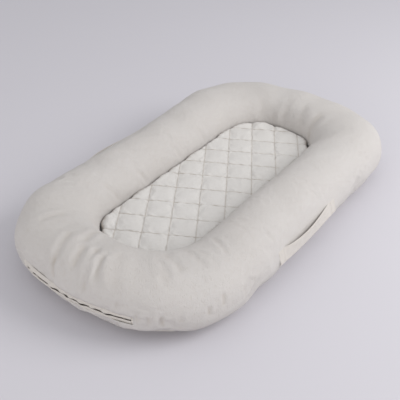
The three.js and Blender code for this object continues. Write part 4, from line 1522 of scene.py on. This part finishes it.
# Lower panel: from the seam down to the floor within a few centimetres, and flat to its middle, with its
# wall inside; its area is half the sum of |edge x edge| over the triangles of its lower face
def underside():
    wall = loungerForm["coverWall"]
    stations = evenStations(undersideForm["steps"])
    levels = [(math.radians(degrees), drop) for degrees, drop in undersideForm["levels"]]
    rows = [ringSurface(stations, angle) * (1, 1, drop) for angle, drop in levels]
    rows += [rows[-1] * (share, share, 1) for share in undersideForm["shares"]]
    outer = np.array(rows)
    inner = outer[::-1].copy()
    inward = inner[..., :2] / np.maximum(np.linalg.norm(inner[..., :2], axis=-1, keepdims=True), 1e-9)
    inner[..., :2] -= inward * wall * np.clip(inner[..., 2:3] / undersideForm["rise"], 0, 1)
    inner[..., 2] += wall
    loops = np.concatenate([inner, outer])
    panel = closedPanel("underside_panel", loops, 0.0, wall, "ring", undersideCloth)
    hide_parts("cover_base")
    down, across = outer[1:] - outer[:-1], np.roll(outer, -1, 1) - outer
    area = sum(np.linalg.norm(np.cross(down, edge), axis=-1).sum() / 2 for edge in (across[:-1], across[1:]))
    size = np.ptp(outer[0], axis=0)
    print(f"underside: {area:.4f} m2, {size[1]:.4f} by {size[0]:.4f} m")
    return panel, float(area)


basePanel, baseArea = underside()


fillingForm = {
    "gap": 0.0025,            # behind the cover's outer face
    "passes": 4,              # of the deepest way nearby, and as many that smooth it
    "innerDegrees": (200, 225, 250, 270, 286),
    # Dent behind the zip: half length and half height where it starts to fade and where it ends
    "dentLength": (0.129, 0.136),
    "dentHeight": (0.0135, 0.021),
    "dentDepth": 0.0018,
    "footEnd": -0.3,
}


# Fibre filling: the cover's form before its folds, moved by the deepest way of the settled cover nearby
# and inwards by its wall and a hair, closed below and behind, with a soft dent behind the zip
def filling():
    normals = gridNormals(coverBase)
    way = ((coverSettled - coverBase) * normals).sum(-1)
    for _ in range(fillingForm["passes"]):
        way = np.minimum(way, np.minimum(np.roll(way, 1, 0), np.roll(way, -1, 0)))
        way[:, 1:-1] = np.minimum(way[:, 1:-1], np.minimum(way[:, :-2], way[:, 2:]))
    for _ in range(fillingForm["passes"]):
        way = (np.roll(way, 1, 0) + 2 * way + np.roll(way, -1, 0)) / 4
        way[:, 1:-1] = (way[:, :-2] + 2 * way[:, 1:-1] + way[:, 2:]) / 4
    skin = (coverBase + normals * (way - fillingForm["gap"])[..., None])[::2]
    picked = np.unique(np.append(np.arange(0, skin.shape[1], 2), skin.shape[1] - 1))
    rows = [skin[:, j] for j in picked]
    for degrees in fillingForm["innerDegrees"]:
        rows.append(ringSurface(coverStations[::2], math.radians(degrees), fillingForm["gap"]))
    grid = np.array(rows).transpose(1, 0, 2)
    fromCentre = grid[..., 0] - zipPlace["centreX"]
    lengths = -np.arctan2(grid[..., 1], -fromCentre) * zipPlace["radius"]
    away = np.abs(grid[..., 2] - loungerForm["widestHeight"])
    dent = 1 - smoothStep(*fillingForm["dentLength"], np.abs(lengths))
    dent *= grid[..., 0] < fillingForm["footEnd"]
    dent *= 1 - smoothStep(*fillingForm["dentHeight"], away)
    radius = np.hypot(fromCentre, grid[..., 1])
    pulled = np.minimum(radius, zipPlace["radius"] - fillingForm["dentDepth"])
    scale = np.where(dent > 0, (radius + (pulled - radius) * dent) / np.maximum(radius, 1e-9), 1)
    grid[..., 0] = zipPlace["centreX"] + fromCentre * scale
    grid[..., 1] *= scale
    faces = gridFaces(0, grid.shape[0], grid.shape[1], closedRows=True, closedColumns=True).reshape(-1, 4)
    piece = newPiece("ring_filling", grid, faces.tolist(), "ring", fibreFilling)
    faceOutwards(piece)
    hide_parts("filling_ring")


filling()
print("inner pieces made")
